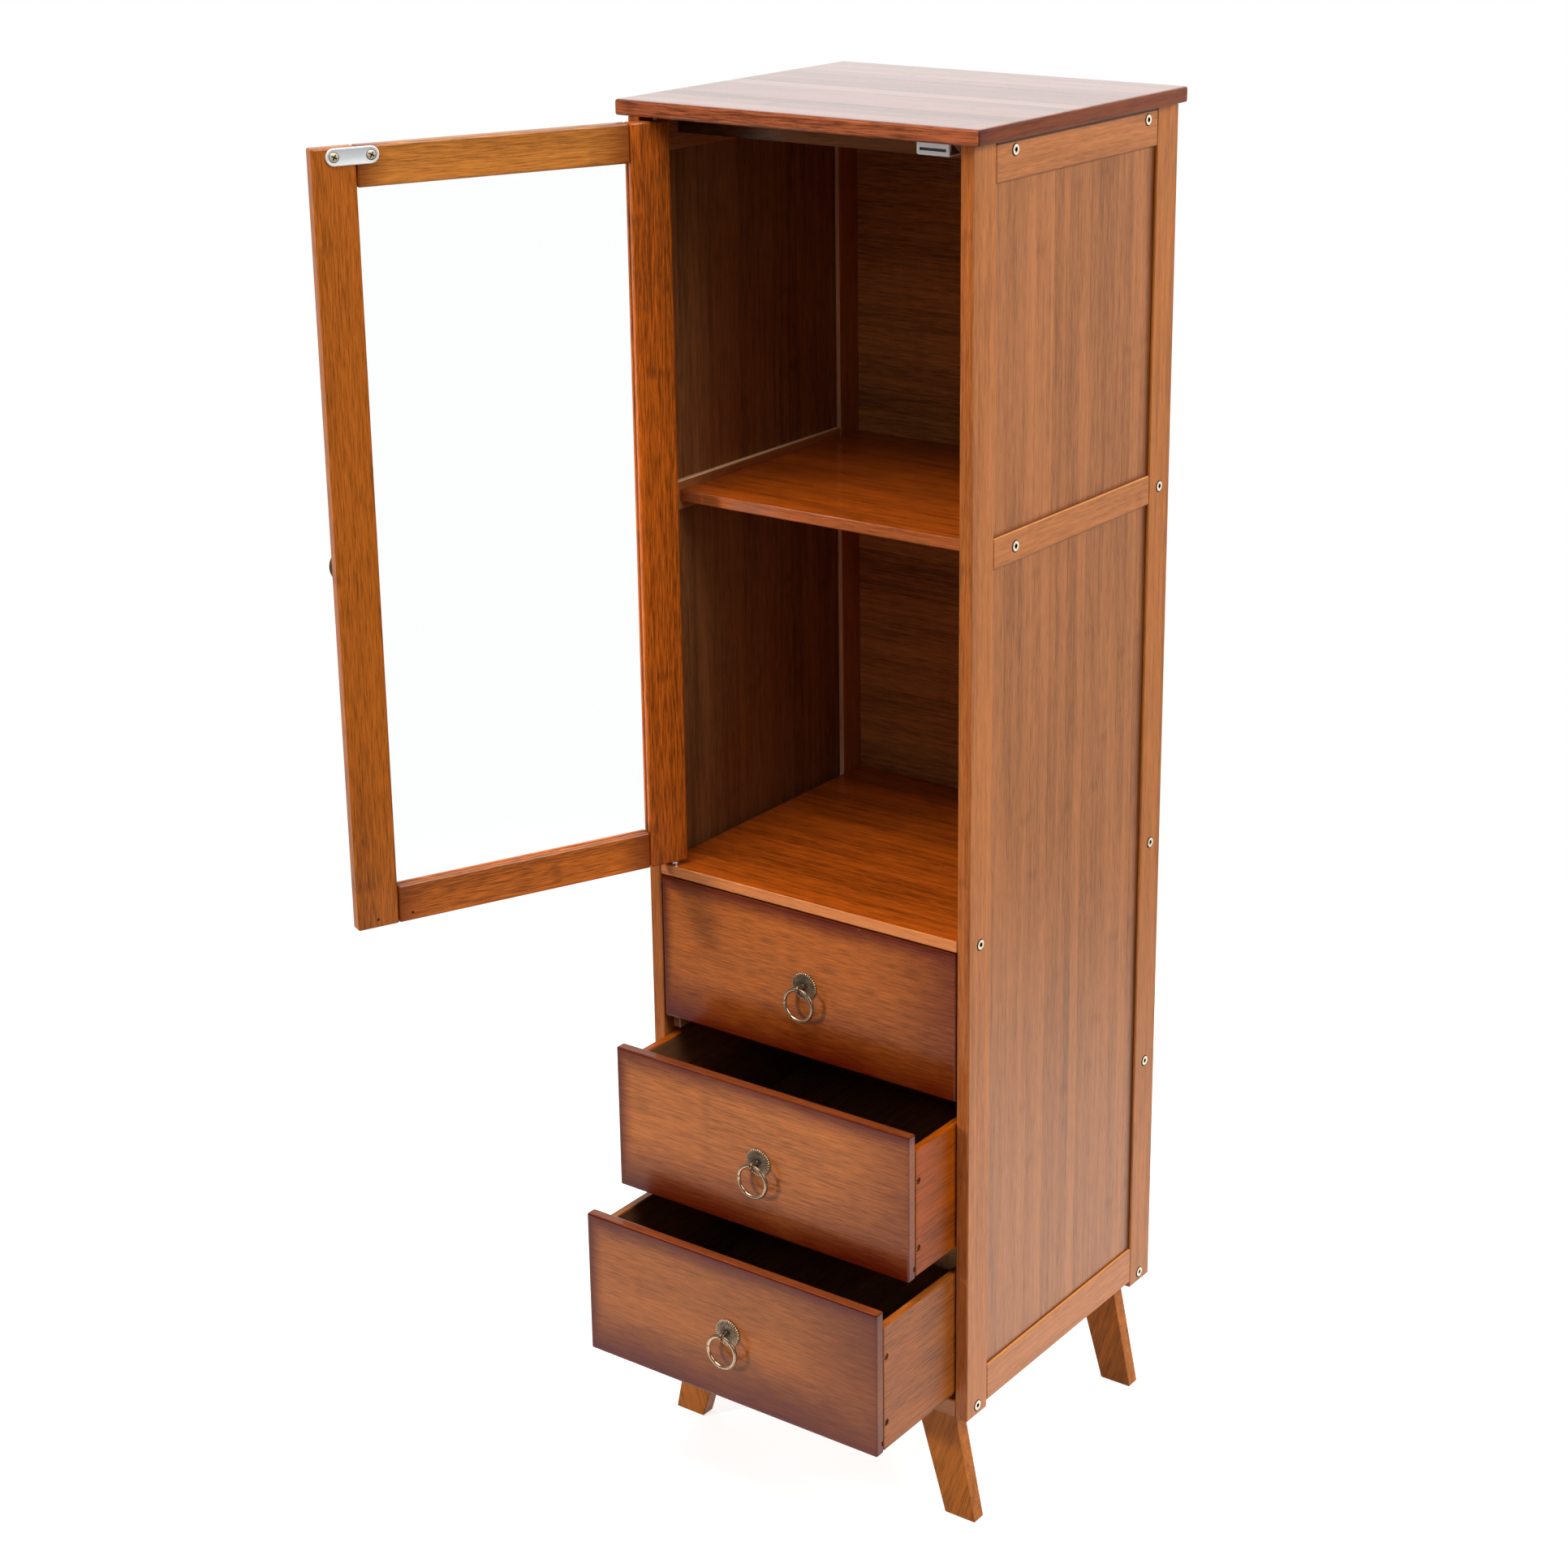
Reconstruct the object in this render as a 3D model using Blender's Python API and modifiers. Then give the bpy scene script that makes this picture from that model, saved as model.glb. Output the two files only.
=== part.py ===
"""Tall free-standing bathroom cabinet in stained bamboo.

A glass door on pivot pins stands open over one shelf, and three inset drawers
below it are shut, partly out and further out.  Sizes are in metres, +Z is up,
the front faces -Y, and the origin is on the floor under the middle of the
whole object as it stands, with its door and drawers open.
"""

import math

import bmesh
import bpy
from mathutils import Matrix, Vector

# Clearances
SEAT = 0.0003
SWING_GAP = 0.0006
EASE = 0.0008

# Case, bottom to top
BODY_WIDTH = 0.3306
BODY_DEPTH = 0.308
LEG_HEIGHT = 0.109
BOTTOM_THICK = 0.0155
FLOOR_THICK = 0.010
DOOR_OPENING_HEIGHT = 0.640
TOP_THICK = 0.013
TOP_SIDE_OVERHANG = 0.008
TOP_FRONT_OVERHANG = 0.0065
TOP_BACK_OVERHANG = 0.001
TOP_EASE = 0.002

# Side frames and their panels
FRAME_THICK = 0.012
FRONT_STILE_WIDTH = 0.031
BACK_STILE_WIDTH = 0.034
TOP_RAIL_HEIGHT = 0.032
MIDDLE_RAIL_HEIGHT = 0.025
BOTTOM_RAIL_HEIGHT = 0.034
STILE_DROP = 0.001
BOTTOM_RAIL_LIFT = 0.005
PANEL_THICK = 0.0045
PANEL_RECESS = 0.0025
PANEL_TONGUE = 0.006

# Shelf, back panel and cross battens
SHELF_RISE = 0.3137
SHELF_THICK = 0.010
SHELF_SETBACK = 0.040
BACK_THICK = 0.0045
BACK_INSET = 0.003
BATTEN_SIDE = 0.018
FRONT_BATTEN_IN = 0.058
REAR_BATTEN_IN = 0.0493
LOW_BATTEN_RISE = 0.0625

# Frame bolts
BOLT_RADIUS = 0.0025
BOLT_LENGTH = 0.040
BOLT_HEAD_RADIUS = 0.0043
BOLT_HEAD_THICK = 0.0025
BOLT_PROUD = 0.0004
BOLT_HEX_RADIUS = 0.0022
BOLT_HEX_DEPTH = 0.0017
BOLT_EDGE_IN = 0.0165
SHELF_BOLT_IN = 0.0234

# Legs, splayed sideways
LEG_THICK = 0.014
LEG_FRONT_IN = 0.0155
LEG_REAR_IN = 0.0135
LEG_TOP_WIDTH = 0.041
LEG_FOOT_WIDTH = 0.0305
LEG_TOP_IN = 0.0119
LEG_SPLAY = 0.0225

# Drawers
FRONT_HEIGHT = 0.1315
FRONT_THICK = 0.010
FRONT_EASE = 0.0015
RABBET_THICK = 0.008
GAP_OVER_DRAWERS = 0.0015
GAP_TOP_MIDDLE = 0.004
GAP_MIDDLE_BOTTOM = 0.0075
GAP_UNDER_DRAWERS = 0.005
DRAWER_SIDE_GAP = 0.00125
DRAWER_REAR_GAP = 0.004
SIDE_THICK = 0.0075
SIDE_LIFT = 0.0015
SIDE_DROP = 0.0155
DRAWER_BACK_THICK = 0.0075
TRAY_THICK = 0.004
TRAY_LIFT = 0.0075
TRAY_GROOVE = 0.003
RUNNER_WIDTH = 0.0075
RUNNER_HEIGHT = 0.017
RUNNER_SETBACK = 0.0025
MIDDLE_DRAWER_OUT = 0.068
BOTTOM_DRAWER_OUT = 0.1145

# Drawer screws
SCREW_RADIUS = 0.0014
SCREW_LENGTH = 0.013
SCREW_HEAD_RADIUS = 0.0027
SCREW_HEAD_THICK = 0.0018
SCREW_SINK = 0.0008
LOW_SCREW_RISE = 0.0265
HIGH_SCREW_RISE = 0.0875

# Cross recesses, as shares of the screw's head
CROSS_REACH = 0.55
CROSS_HALF_WIDTH = 0.14
CROSS_DEPTH = 0.45

# Door
DOOR_THICK = 0.012
DOOR_EASE = 0.0016
DOOR_FREE_GAP = 0.0025
DOOR_TOP_GAP = 0.0030
DOOR_BOTTOM_GAP = 0.0035
DOOR_STILE_WIDTH = 0.0355
DOOR_TOP_RAIL = 0.032
DOOR_BOTTOM_RAIL = 0.0325
GLASS_THICK = 0.003
GLASS_TONGUE = 0.005
DOOR_OPEN_DEG = 114.0

# Pivot pins
PIVOT_IN = 0.0095
PIN_RADIUS = 0.002
PIN_IN_DOOR = 0.012
PIN_IN_BOARD = 0.007
COLLAR_RADIUS = 0.0035

# Strike plate, its screws and the magnetic catch
STRIKE_LENGTH = 0.043
STRIKE_HEIGHT = 0.0135
STRIKE_THICK = 0.0012
STRIKE_FREE_IN = 0.0323
STRIKE_TOP_IN = 0.0073
STRIKE_SCREW_APART = 0.030
STRIKE_SCREW_HEAD_RADIUS = 0.0036
STRIKE_SCREW_HEAD_THICK = 0.0012
STRIKE_SCREW_RADIUS = 0.0015
STRIKE_SCREW_LENGTH = 0.008
PILOT_RADIUS = 0.0011
PILOT_DEPTH = 0.006
PILOT_RISE = 0.0070
CATCH_WIDTH = 0.031
CATCH_HEIGHT = 0.0125
CATCH_DEPTH = 0.016
CATCH_GAP = 0.0005
CATCH_EASE = 0.0016
CATCH_SLOT_RISE = 0.0048
CATCH_SLOT_LENGTH = 0.0240
CATCH_SLOT_HEIGHT = 0.0022
CATCH_SLOT_DEPTH = 0.0015

# Ring pulls
PULL_RADIUS = 0.0125
PULL_RIM_THICK = 0.0012
PULL_DOME_RADIUS = 0.0100
PULL_DOME_HEIGHT = 0.0014
PULL_DOME_STEP = 0.0002
PULL_CREST_RADIUS = 0.0060
PULL_CREST_HEIGHT = 0.00105
PULL_FLUTES = 36
PULL_FLUTE_DEPTH = 0.0006
POST_RADIUS = 0.0022
EYE_REACH = 0.009
EYE_WIRE_RADIUS = 0.0011
EYE_PLAY = 0.0003
POST_INTO_EYE = 0.0004
RING_WIRE_RADIUS = 0.0014
RING_RADIUS = 0.0142

# Heights
BOTTOM_TOP_Z = LEG_HEIGHT + BOTTOM_THICK
FRONT_Z = {"bottom": BOTTOM_TOP_Z + GAP_UNDER_DRAWERS}
FRONT_Z["middle"] = FRONT_Z["bottom"] + FRONT_HEIGHT + GAP_MIDDLE_BOTTOM
FRONT_Z["top"] = FRONT_Z["middle"] + FRONT_HEIGHT + GAP_TOP_MIDDLE
FLOOR_Z = FRONT_Z["top"] + FRONT_HEIGHT + GAP_OVER_DRAWERS
FLOOR_TOP_Z = FLOOR_Z + FLOOR_THICK
SHELF_Z = FLOOR_TOP_Z + SHELF_RISE
SHELF_MIDDLE_Z = SHELF_Z + SHELF_THICK / 2
TOP_Z = FLOOR_TOP_Z + DOOR_OPENING_HEIGHT
STILE_FOOT_Z = LEG_HEIGHT - STILE_DROP
BOTTOM_RAIL_Z = LEG_HEIGHT + BOTTOM_RAIL_LIFT
TOP_BATTEN_Z = TOP_Z - SEAT - BATTEN_SIDE / 2
LOW_BATTEN_Z = FRONT_Z["middle"] + LOW_BATTEN_RISE

# Widths and depths
OUTER = BODY_WIDTH / 2
INNER = OUTER - FRAME_THICK
BOARD_END = INNER - SEAT
RAIL_FRONT_Y = FRONT_STILE_WIDTH + SEAT
RAIL_BACK_Y = BODY_DEPTH - BACK_STILE_WIDTH - SEAT
BACK_FRONT_Y = BODY_DEPTH - BACK_INSET - BACK_THICK
BOARD_BACK_Y = BACK_FRONT_Y - SEAT
LOW_BATTEN_Y = BOARD_BACK_Y - BATTEN_SIDE / 2
REAR_BATTEN_Y = BODY_DEPTH - REAR_BATTEN_IN
REAR_BOLT_Y = LOW_BATTEN_Y
DRAWER_LENGTH = BOARD_BACK_Y - BATTEN_SIDE - DRAWER_REAR_GAP
DRAWER_HALF = INNER - DRAWER_SIDE_GAP
RUNNER_Y = (FRONT_THICK + RUNNER_SETBACK, BOARD_BACK_Y - BATTEN_SIDE - SEAT)

# Door, shut, measured from the pivot pins' axis
HALF_DOOR = DOOR_THICK / 2
HINGE_GAP = math.hypot(PIVOT_IN, HALF_DOOR) - PIVOT_IN + SWING_GAP
PIVOT_X = -INNER + HINGE_GAP + PIVOT_IN
PIVOT_Y = HALF_DOOR
DOOR_WIDTH = 2 * INNER - HINGE_GAP - DOOR_FREE_GAP
DOOR_Z = FLOOR_TOP_Z + DOOR_BOTTOM_GAP
DOOR_TOP_Z = TOP_Z - DOOR_TOP_GAP
DOOR_HINGE_EDGE = -PIVOT_IN
DOOR_FREE_EDGE = DOOR_WIDTH - PIVOT_IN
STRIKE_X = DOOR_FREE_EDGE - STRIKE_FREE_IN
STRIKE_Z = DOOR_TOP_Z - STRIKE_TOP_IN

# Ring pulls
EYE_RADIUS = EYE_WIRE_RADIUS + RING_WIRE_RADIUS + EYE_PLAY


def clear_scene():
    for old in list(bpy.data.objects):
        bpy.data.objects.remove(old, do_unlink=True)


def collection(name):
    group = bpy.data.collections.new(name)
    bpy.context.scene.collection.children.link(group)
    return group


def material(name, colour, roughness, metallic=0.0):
    made = bpy.data.materials.new(name)
    made.use_nodes = True
    shader = made.node_tree.nodes["Principled BSDF"]
    shader.inputs["Base Color"].default_value = (*colour, 1.0)
    shader.inputs["Roughness"].default_value = roughness
    shader.inputs["Metallic"].default_value = metallic
    return made


clear_scene()
CABINET = collection("bathroom_cabinet")
CUTTERS = collection("cutters")

FRAME_BAMBOO = material("frame_bamboo", (0.42, 0.19, 0.09), 0.32)
PANEL_BAMBOO = material("panel_bamboo", (0.30, 0.15, 0.09), 0.38)
TOP_BAMBOO = material("top_bamboo", (0.50, 0.30, 0.25), 0.22)
SHELF_BAMBOO = material("shelf_bamboo", (0.36, 0.13, 0.04), 0.25)
DARK_BAMBOO = material("dark_bamboo", (0.06, 0.02, 0.01), 0.45)
DOOR_BAMBOO = material("door_bamboo", (0.34, 0.12, 0.03), 0.30)
DRAWER_FRONT_BAMBOO = material("drawer_front_bamboo", (0.24, 0.07, 0.04), 0.24)
DRAWER_BOX_BAMBOO = material("drawer_box_bamboo", (0.46, 0.20, 0.09), 0.40)
RAW_BAMBOO = material("raw_bamboo", (0.48, 0.28, 0.14), 0.55)
CLEAR_GLASS = material("clear_glass", (0.90, 0.96, 0.95), 0.03)
PALE_BRASS = material("pale_brass", (0.62, 0.50, 0.30), 0.30, 1.0)
ANTIQUE_BRASS = material("antique_brass", (0.16, 0.10, 0.06), 0.38, 1.0)
BRIGHT_ZINC = material("bright_zinc", (0.72, 0.74, 0.76), 0.28, 1.0)
WHITE_PLASTIC = material("white_plastic", (0.78, 0.78, 0.76), 0.45)


def place(obj, group, parent=None):
    group.objects.link(obj)
    obj.parent = parent
    return obj


def hide_cutter(obj):
    obj.hide_render = True
    obj.display_type = "WIRE"
    return obj


def pivot(name, location, parent, turn=0.0):
    """An empty on a moving body's joint axis."""
    empty = bpy.data.objects.new(name, None)
    empty.empty_display_size = 0.02
    empty.location = location
    empty.rotation_euler = (0.0, 0.0, turn)
    return place(empty, CABINET, parent)


def box_mesh(name, x, y, z):
    """A box between two limits on each axis, centred on its own origin."""
    size = (x[1] - x[0], y[1] - y[0], z[1] - z[0])
    mesh = bpy.data.meshes.new(name)
    shape = bmesh.new()
    bmesh.ops.create_cube(shape, size=1.0, matrix=Matrix.Diagonal((*size, 1.0)))
    shape.to_mesh(mesh)
    shape.free()
    return mesh


def middle(x, y, z):
    return Vector((sum(x) / 2, sum(y) / 2, sum(z) / 2))


def ease_edges(obj, width, segments=1):
    bevel = obj.modifiers.new("eased_edges", "BEVEL")
    bevel.width = width
    bevel.segments = segments
    bevel.limit_method = "ANGLE"
    return obj


def board(name, x, y, z, look, parent=None, ease=EASE, segments=1):
    obj = bpy.data.objects.new(name, box_mesh(name, x, y, z))
    obj.location = middle(x, y, z)
    obj.data.materials.append(look)
    place(obj, CABINET, parent)
    return ease_edges(obj, ease, segments)


def box_cutter(name, x, y, z, parent=None):
    obj = bpy.data.objects.new(name, box_mesh(name, x, y, z))
    obj.location = middle(x, y, z)
    return hide_cutter(place(obj, CUTTERS, parent))


def combine(obj, other, operation="DIFFERENCE"):
    change = obj.modifiers.new(other.name, "BOOLEAN")
    change.operation = operation
    change.object = other
    return obj


def turned_mesh(name, profile, segments):
    """A solid turned about Z from (radius, height) points, listed top to bottom."""
    outline = bpy.data.meshes.new(name + "_profile")
    points = [(radius, 0.0, height) for radius, height in profile]
    edges = [(i, i + 1) for i in range(len(points) - 1)]
    outline.from_pydata(points, edges, [])
    source = bpy.data.objects.new(name + "_source", outline)
    bpy.context.scene.collection.objects.link(source)
    screw = source.modifiers.new("turn", "SCREW")
    screw.steps = segments
    screw.render_steps = segments
    screw.use_merge_vertices = True
    screw.merge_threshold = 0.00001
    return baked_mesh(name, source)


def baked_mesh(name, source, *tools):
    """The evaluated mesh of an object, which is then removed with its cutters."""
    bpy.context.view_layer.update()
    view = bpy.context.evaluated_depsgraph_get()
    mesh = bpy.data.meshes.new_from_object(source.evaluated_get(view), depsgraph=view)
    mesh.name = name
    shape = bmesh.new()
    shape.from_mesh(mesh)
    bmesh.ops.remove_doubles(shape, verts=shape.verts, dist=0.00001)
    bmesh.ops.recalc_face_normals(shape, faces=shape.faces)
    shape.to_mesh(mesh)
    shape.free()
    for used in (source, *tools):
        bpy.data.objects.remove(used, do_unlink=True)
    return mesh


def rod_mesh(name, radius, low, high, segments):
    mesh = bpy.data.meshes.new(name)
    shape = bmesh.new()
    bmesh.ops.create_cone(
        shape,
        cap_ends=True,
        segments=segments,
        radius1=radius,
        radius2=radius,
        depth=high - low,
        matrix=Matrix.Translation((0.0, 0.0, (low + high) / 2)),
    )
    shape.to_mesh(mesh)
    shape.free()
    return mesh


def torus_mesh(name, radius, wire_radius, around, section):
    """A ring about X, with its centre on the origin."""
    bpy.ops.mesh.primitive_torus_add(
        major_radius=radius,
        minor_radius=wire_radius,
        major_segments=around,
        minor_segments=section,
        rotation=(0.0, math.radians(90.0), 0.0),
    )
    source = bpy.context.active_object
    bpy.ops.object.transform_apply(location=False, rotation=True, scale=False)
    return baked_mesh(name, source)


def flat_mesh(name, points, thickness):
    """A flat outline in X and Y with a thickness along Z, centred on the origin."""
    curve = bpy.data.curves.new(name + "_outline", "CURVE")
    curve.dimensions = "2D"
    curve.fill_mode = "BOTH"
    curve.extrude = thickness / 2
    spline = curve.splines.new("POLY")
    spline.points.add(len(points) - 1)
    for target, (x, y) in zip(spline.points, points):
        target.co = (x, y, 0.0, 1.0)
    spline.use_cyclic_u = True
    source = bpy.data.objects.new(name + "_source", curve)
    bpy.context.scene.collection.objects.link(source)
    return baked_mesh(name, source)


def upright_mesh(name, points, thickness):
    """A flat outline in X and Z with a thickness along Y, centred on the origin."""
    mesh = flat_mesh(name, points, thickness)
    mesh.transform(Matrix.Rotation(math.radians(90.0), 4, "X"))
    return mesh


def copies_mesh(name, pattern, matrices):
    """One mesh holding a separate solid for each matrix."""
    mesh = bpy.data.meshes.new(name)
    shape = bmesh.new()
    for matrix in matrices:
        start = len(shape.verts)
        shape.from_mesh(pattern)
        shape.verts.ensure_lookup_table()
        bmesh.ops.transform(shape, matrix=matrix, verts=shape.verts[start:])
    shape.to_mesh(mesh)
    shape.free()
    return mesh


def piece(name, mesh, look, parent=None, location=(0.0, 0.0, 0.0)):
    obj = bpy.data.objects.new(name, mesh)
    obj.location = location
    if not mesh.materials:
        mesh.materials.append(look)
    return place(obj, CABINET, parent)


def cutter(name, mesh, parent=None, location=(0.0, 0.0, 0.0)):
    obj = bpy.data.objects.new(name, mesh)
    obj.location = location
    return hide_cutter(place(obj, CUTTERS, parent))


def smooth(mesh, angle=40.0):
    mesh.shade_smooth()
    mesh.set_sharp_from_angle(angle=math.radians(angle))
    return mesh


def facing(direction, location):
    """A matrix that turns +Z to a direction and moves the origin to a location."""
    turn = Vector((0.0, 0.0, 1.0)).rotation_difference(Vector(direction))
    return Matrix.Translation(location) @ turn.to_matrix().to_4x4()


def grown(limits, gap):
    return (limits[0] - gap, limits[1] + gap)


CASE = pivot("case", (0.0, 0.0, 0.0), None)

# Bolts through the side frames into the boards and battens
BOARD_MIDDLE_Z = LEG_HEIGHT + BOTTOM_THICK / 2
FLOOR_MIDDLE_Z = FLOOR_Z + FLOOR_THICK / 2
TOP_BOLTS = [(FRONT_BATTEN_IN, TOP_BATTEN_Z), (REAR_BATTEN_Y, TOP_BATTEN_Z)]
SHELF_BOLTS = [(SHELF_SETBACK + SHELF_BOLT_IN, SHELF_MIDDLE_Z), (REAR_BOLT_Y, SHELF_MIDDLE_Z)]
FLOOR_BOLTS = [(BOLT_EDGE_IN, FLOOR_MIDDLE_Z), (REAR_BOLT_Y, FLOOR_MIDDLE_Z)]
BATTEN_BOLTS = [(REAR_BOLT_Y, LOW_BATTEN_Z)]
BOTTOM_BOLTS = [(BOLT_EDGE_IN, BOARD_MIDDLE_Z), (REAR_BOLT_Y, BOARD_MIDDLE_Z)]
ALL_BOLTS = TOP_BOLTS + SHELF_BOLTS + FLOOR_BOLTS + BATTEN_BOLTS + BOTTOM_BOLTS


def bolt_matrices(places):
    """Both sides' matrices for bolts at these (y, z), on the frames' outer faces."""
    matrices = []
    for side in (-1.0, 1.0):
        for y, z in places:
            matrices.append(facing((side, 0.0, 0.0), (side * OUTER, y, z)))
    return matrices


def bolt_mesh():
    """A bolt along -Z with a hexagon socket; the frame's outer face is at zero."""
    under_head = BOLT_PROUD - BOLT_HEAD_THICK
    profile = [
        (0.0, BOLT_PROUD),
        (BOLT_HEAD_RADIUS, BOLT_PROUD),
        (BOLT_HEAD_RADIUS, under_head),
        (BOLT_RADIUS, under_head),
        (BOLT_RADIUS, under_head - BOLT_LENGTH),
        (0.0, under_head - BOLT_LENGTH),
    ]
    plain = bpy.data.objects.new("bolt_source", turned_mesh("bolt_blank", profile, 12))
    bpy.context.scene.collection.objects.link(plain)
    hex_low = BOLT_PROUD - BOLT_HEX_DEPTH
    hex_high = BOLT_PROUD + BOLT_HEX_DEPTH
    socket = cutter("bolt_socket", rod_mesh("bolt_socket", BOLT_HEX_RADIUS, hex_low, hex_high, 6))
    combine(plain, socket)
    return baked_mesh("bolt", plain, socket)


def bolt_hole_mesh():
    seat = BOLT_PROUD - BOLT_HEAD_THICK - SEAT
    profile = [
        (0.0, FRAME_THICK),
        (BOLT_HEAD_RADIUS + SEAT, FRAME_THICK),
        (BOLT_HEAD_RADIUS + SEAT, seat),
        (BOLT_RADIUS + SEAT, seat),
        (BOLT_RADIUS + SEAT, -2 * FRAME_THICK),
        (0.0, -2 * FRAME_THICK),
    ]
    return turned_mesh("bolt_hole", profile, 12)


BOLT = bolt_mesh()
BOLT_HOLES = cutter(
    "bolt_holes", copies_mesh("bolt_holes", bolt_hole_mesh(), bolt_matrices(ALL_BOLTS)), CASE
)


def bolted(obj, places):
    """Joins a board with the bolts that are threaded into its ends."""
    name = obj.name + "_bolts"
    return combine(obj, cutter(name, copies_mesh(name, BOLT, bolt_matrices(places)), CASE), "UNION")


BOARD_X = (-BOARD_END, BOARD_END)


def pin_hole(z):
    """A hole for a door pin, as deep on both sides of a board's face at this height."""
    reach = PIN_IN_BOARD + SEAT
    mesh = rod_mesh("board_pin_hole", PIN_RADIUS + SEAT, -reach, reach, 16)
    return cutter("board_pin_hole", mesh, CASE, (PIVOT_X, PIVOT_Y, z))


# Top panel, with the two battens glued under it that its bolts hold
def top_panel():
    panel = board(
        "top_panel",
        (-OUTER - TOP_SIDE_OVERHANG, OUTER + TOP_SIDE_OVERHANG),
        (-TOP_FRONT_OVERHANG, BODY_DEPTH + TOP_BACK_OVERHANG),
        (TOP_Z, TOP_Z + TOP_THICK),
        TOP_BAMBOO,
        CASE,
        TOP_EASE,
        2,
    )
    half = BATTEN_SIDE / 2
    for name, y in (("front_batten", FRONT_BATTEN_IN), ("rear_batten", REAR_BATTEN_Y)):
        batten_z = (TOP_BATTEN_Z - half, TOP_Z + TOP_THICK / 2)
        batten = box_cutter(name, BOARD_X, (y - half, y + half), batten_z, CASE)
        combine(panel, batten, "UNION")
    combine(panel, pin_hole(TOP_Z))
    bolted(panel, TOP_BOLTS)


top_panel()

# Side frames
UPPER_RAIL_Z = TOP_Z - TOP_RAIL_HEIGHT
MIDDLE_RAIL_Z = SHELF_MIDDLE_Z - MIDDLE_RAIL_HEIGHT / 2
MIDDLE_RAIL_TOP_Z = SHELF_MIDDLE_Z + MIDDLE_RAIL_HEIGHT / 2
BOTTOM_RAIL_TOP_Z = BOTTOM_RAIL_Z + BOTTOM_RAIL_HEIGHT


def sided(side, inner, outer):
    """X limits measured outwards, on the left (-1) or the right (+1)."""
    return tuple(sorted((side * inner, side * outer)))


def side_frame(label, side):
    thickness = sided(side, INNER, OUTER)
    stiles = [
        board(
            f"{label}_front_stile",
            thickness,
            (0.0, FRONT_STILE_WIDTH),
            (STILE_FOOT_Z, TOP_Z - SEAT),
            FRAME_BAMBOO,
            CASE,
        ),
        board(
            f"{label}_back_stile",
            thickness,
            (BODY_DEPTH - BACK_STILE_WIDTH, BODY_DEPTH),
            (STILE_FOOT_Z, TOP_Z - SEAT),
            FRAME_BAMBOO,
            CASE,
        ),
    ]
    rail_length = (RAIL_FRONT_Y, RAIL_BACK_Y)
    rails = {}
    for name, low, high in (
        ("top", UPPER_RAIL_Z, TOP_Z - SEAT),
        ("middle", MIDDLE_RAIL_Z, MIDDLE_RAIL_TOP_Z),
        ("bottom", BOTTOM_RAIL_Z, BOTTOM_RAIL_TOP_Z),
    ):
        rail_name = f"{label}_{name}_rail"
        rails[name] = board(rail_name, thickness, rail_length, (low, high), FRAME_BAMBOO, CASE)

    panel_outer = OUTER - PANEL_RECESS
    panel_x = sided(side, panel_outer - PANEL_THICK, panel_outer)
    panel_y = grown((FRONT_STILE_WIDTH, BODY_DEPTH - BACK_STILE_WIDTH), PANEL_TONGUE)
    for name, low, high, above, below in (
        ("upper", MIDDLE_RAIL_TOP_Z, UPPER_RAIL_Z, "top", "middle"),
        ("lower", BOTTOM_RAIL_TOP_Z, MIDDLE_RAIL_Z, "middle", "bottom"),
    ):
        panel_z = grown((low, high), PANEL_TONGUE)
        board(f"{label}_{name}_panel", panel_x, panel_y, panel_z, PANEL_BAMBOO, CASE, EASE / 2)
        groove = box_cutter(
            f"{label}_{name}_groove",
            grown(panel_x, SEAT),
            grown(panel_y, SEAT),
            grown(panel_z, SEAT),
            CASE,
        )
        for member in (*stiles, rails[above], rails[below]):
            combine(member, groove)
    for member in (*stiles, rails["top"], rails["middle"]):
        combine(member, BOLT_HOLES)


side_frame("left", -1.0)
side_frame("right", 1.0)

# Boards between the side frames
def bottom_board():
    """The bottom board, with a glued ledge under each side of the lowest drawer."""
    bottom = board(
        "bottom_board",
        BOARD_X,
        (0.0, BOARD_BACK_Y),
        (LEG_HEIGHT, BOTTOM_TOP_Z),
        FRAME_BAMBOO,
        CASE,
    )
    ledge_z = (BOARD_MIDDLE_Z, FRONT_Z["bottom"] + SIDE_LIFT - SEAT)
    for label, side in (("left", -1.0), ("right", 1.0)):
        x = sided(side, INNER - RUNNER_WIDTH, BOARD_END)
        combine(bottom, box_cutter(f"{label}_ledge", x, RUNNER_Y, ledge_z, CASE), "UNION")
    bolted(bottom, BOTTOM_BOLTS)


bottom_board()

floor_board = board(
    "compartment_floor",
    BOARD_X,
    (0.0, BOARD_BACK_Y),
    (FLOOR_Z, FLOOR_TOP_Z),
    SHELF_BAMBOO,
    CASE,
)
combine(floor_board, pin_hole(FLOOR_TOP_Z))
bolted(floor_board, FLOOR_BOLTS)

shelf = board(
    "middle_shelf",
    BOARD_X,
    (SHELF_SETBACK, BOARD_BACK_Y),
    (SHELF_Z, SHELF_Z + SHELF_THICK),
    SHELF_BAMBOO,
    CASE,
)
bolted(shelf, SHELF_BOLTS)

board(
    "back_panel",
    BOARD_X,
    (BACK_FRONT_Y, BACK_FRONT_Y + BACK_THICK),
    (LEG_HEIGHT, TOP_Z - SEAT),
    DARK_BAMBOO,
    CASE,
    EASE / 2,
)

low_batten = board(
    "low_back_batten",
    BOARD_X,
    (LOW_BATTEN_Y - BATTEN_SIDE / 2, LOW_BATTEN_Y + BATTEN_SIDE / 2),
    (LOW_BATTEN_Z - BATTEN_SIDE / 2, LOW_BATTEN_Z + BATTEN_SIDE / 2),
    DARK_BAMBOO,
    CASE,
)
bolted(low_batten, BATTEN_BOLTS)


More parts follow.
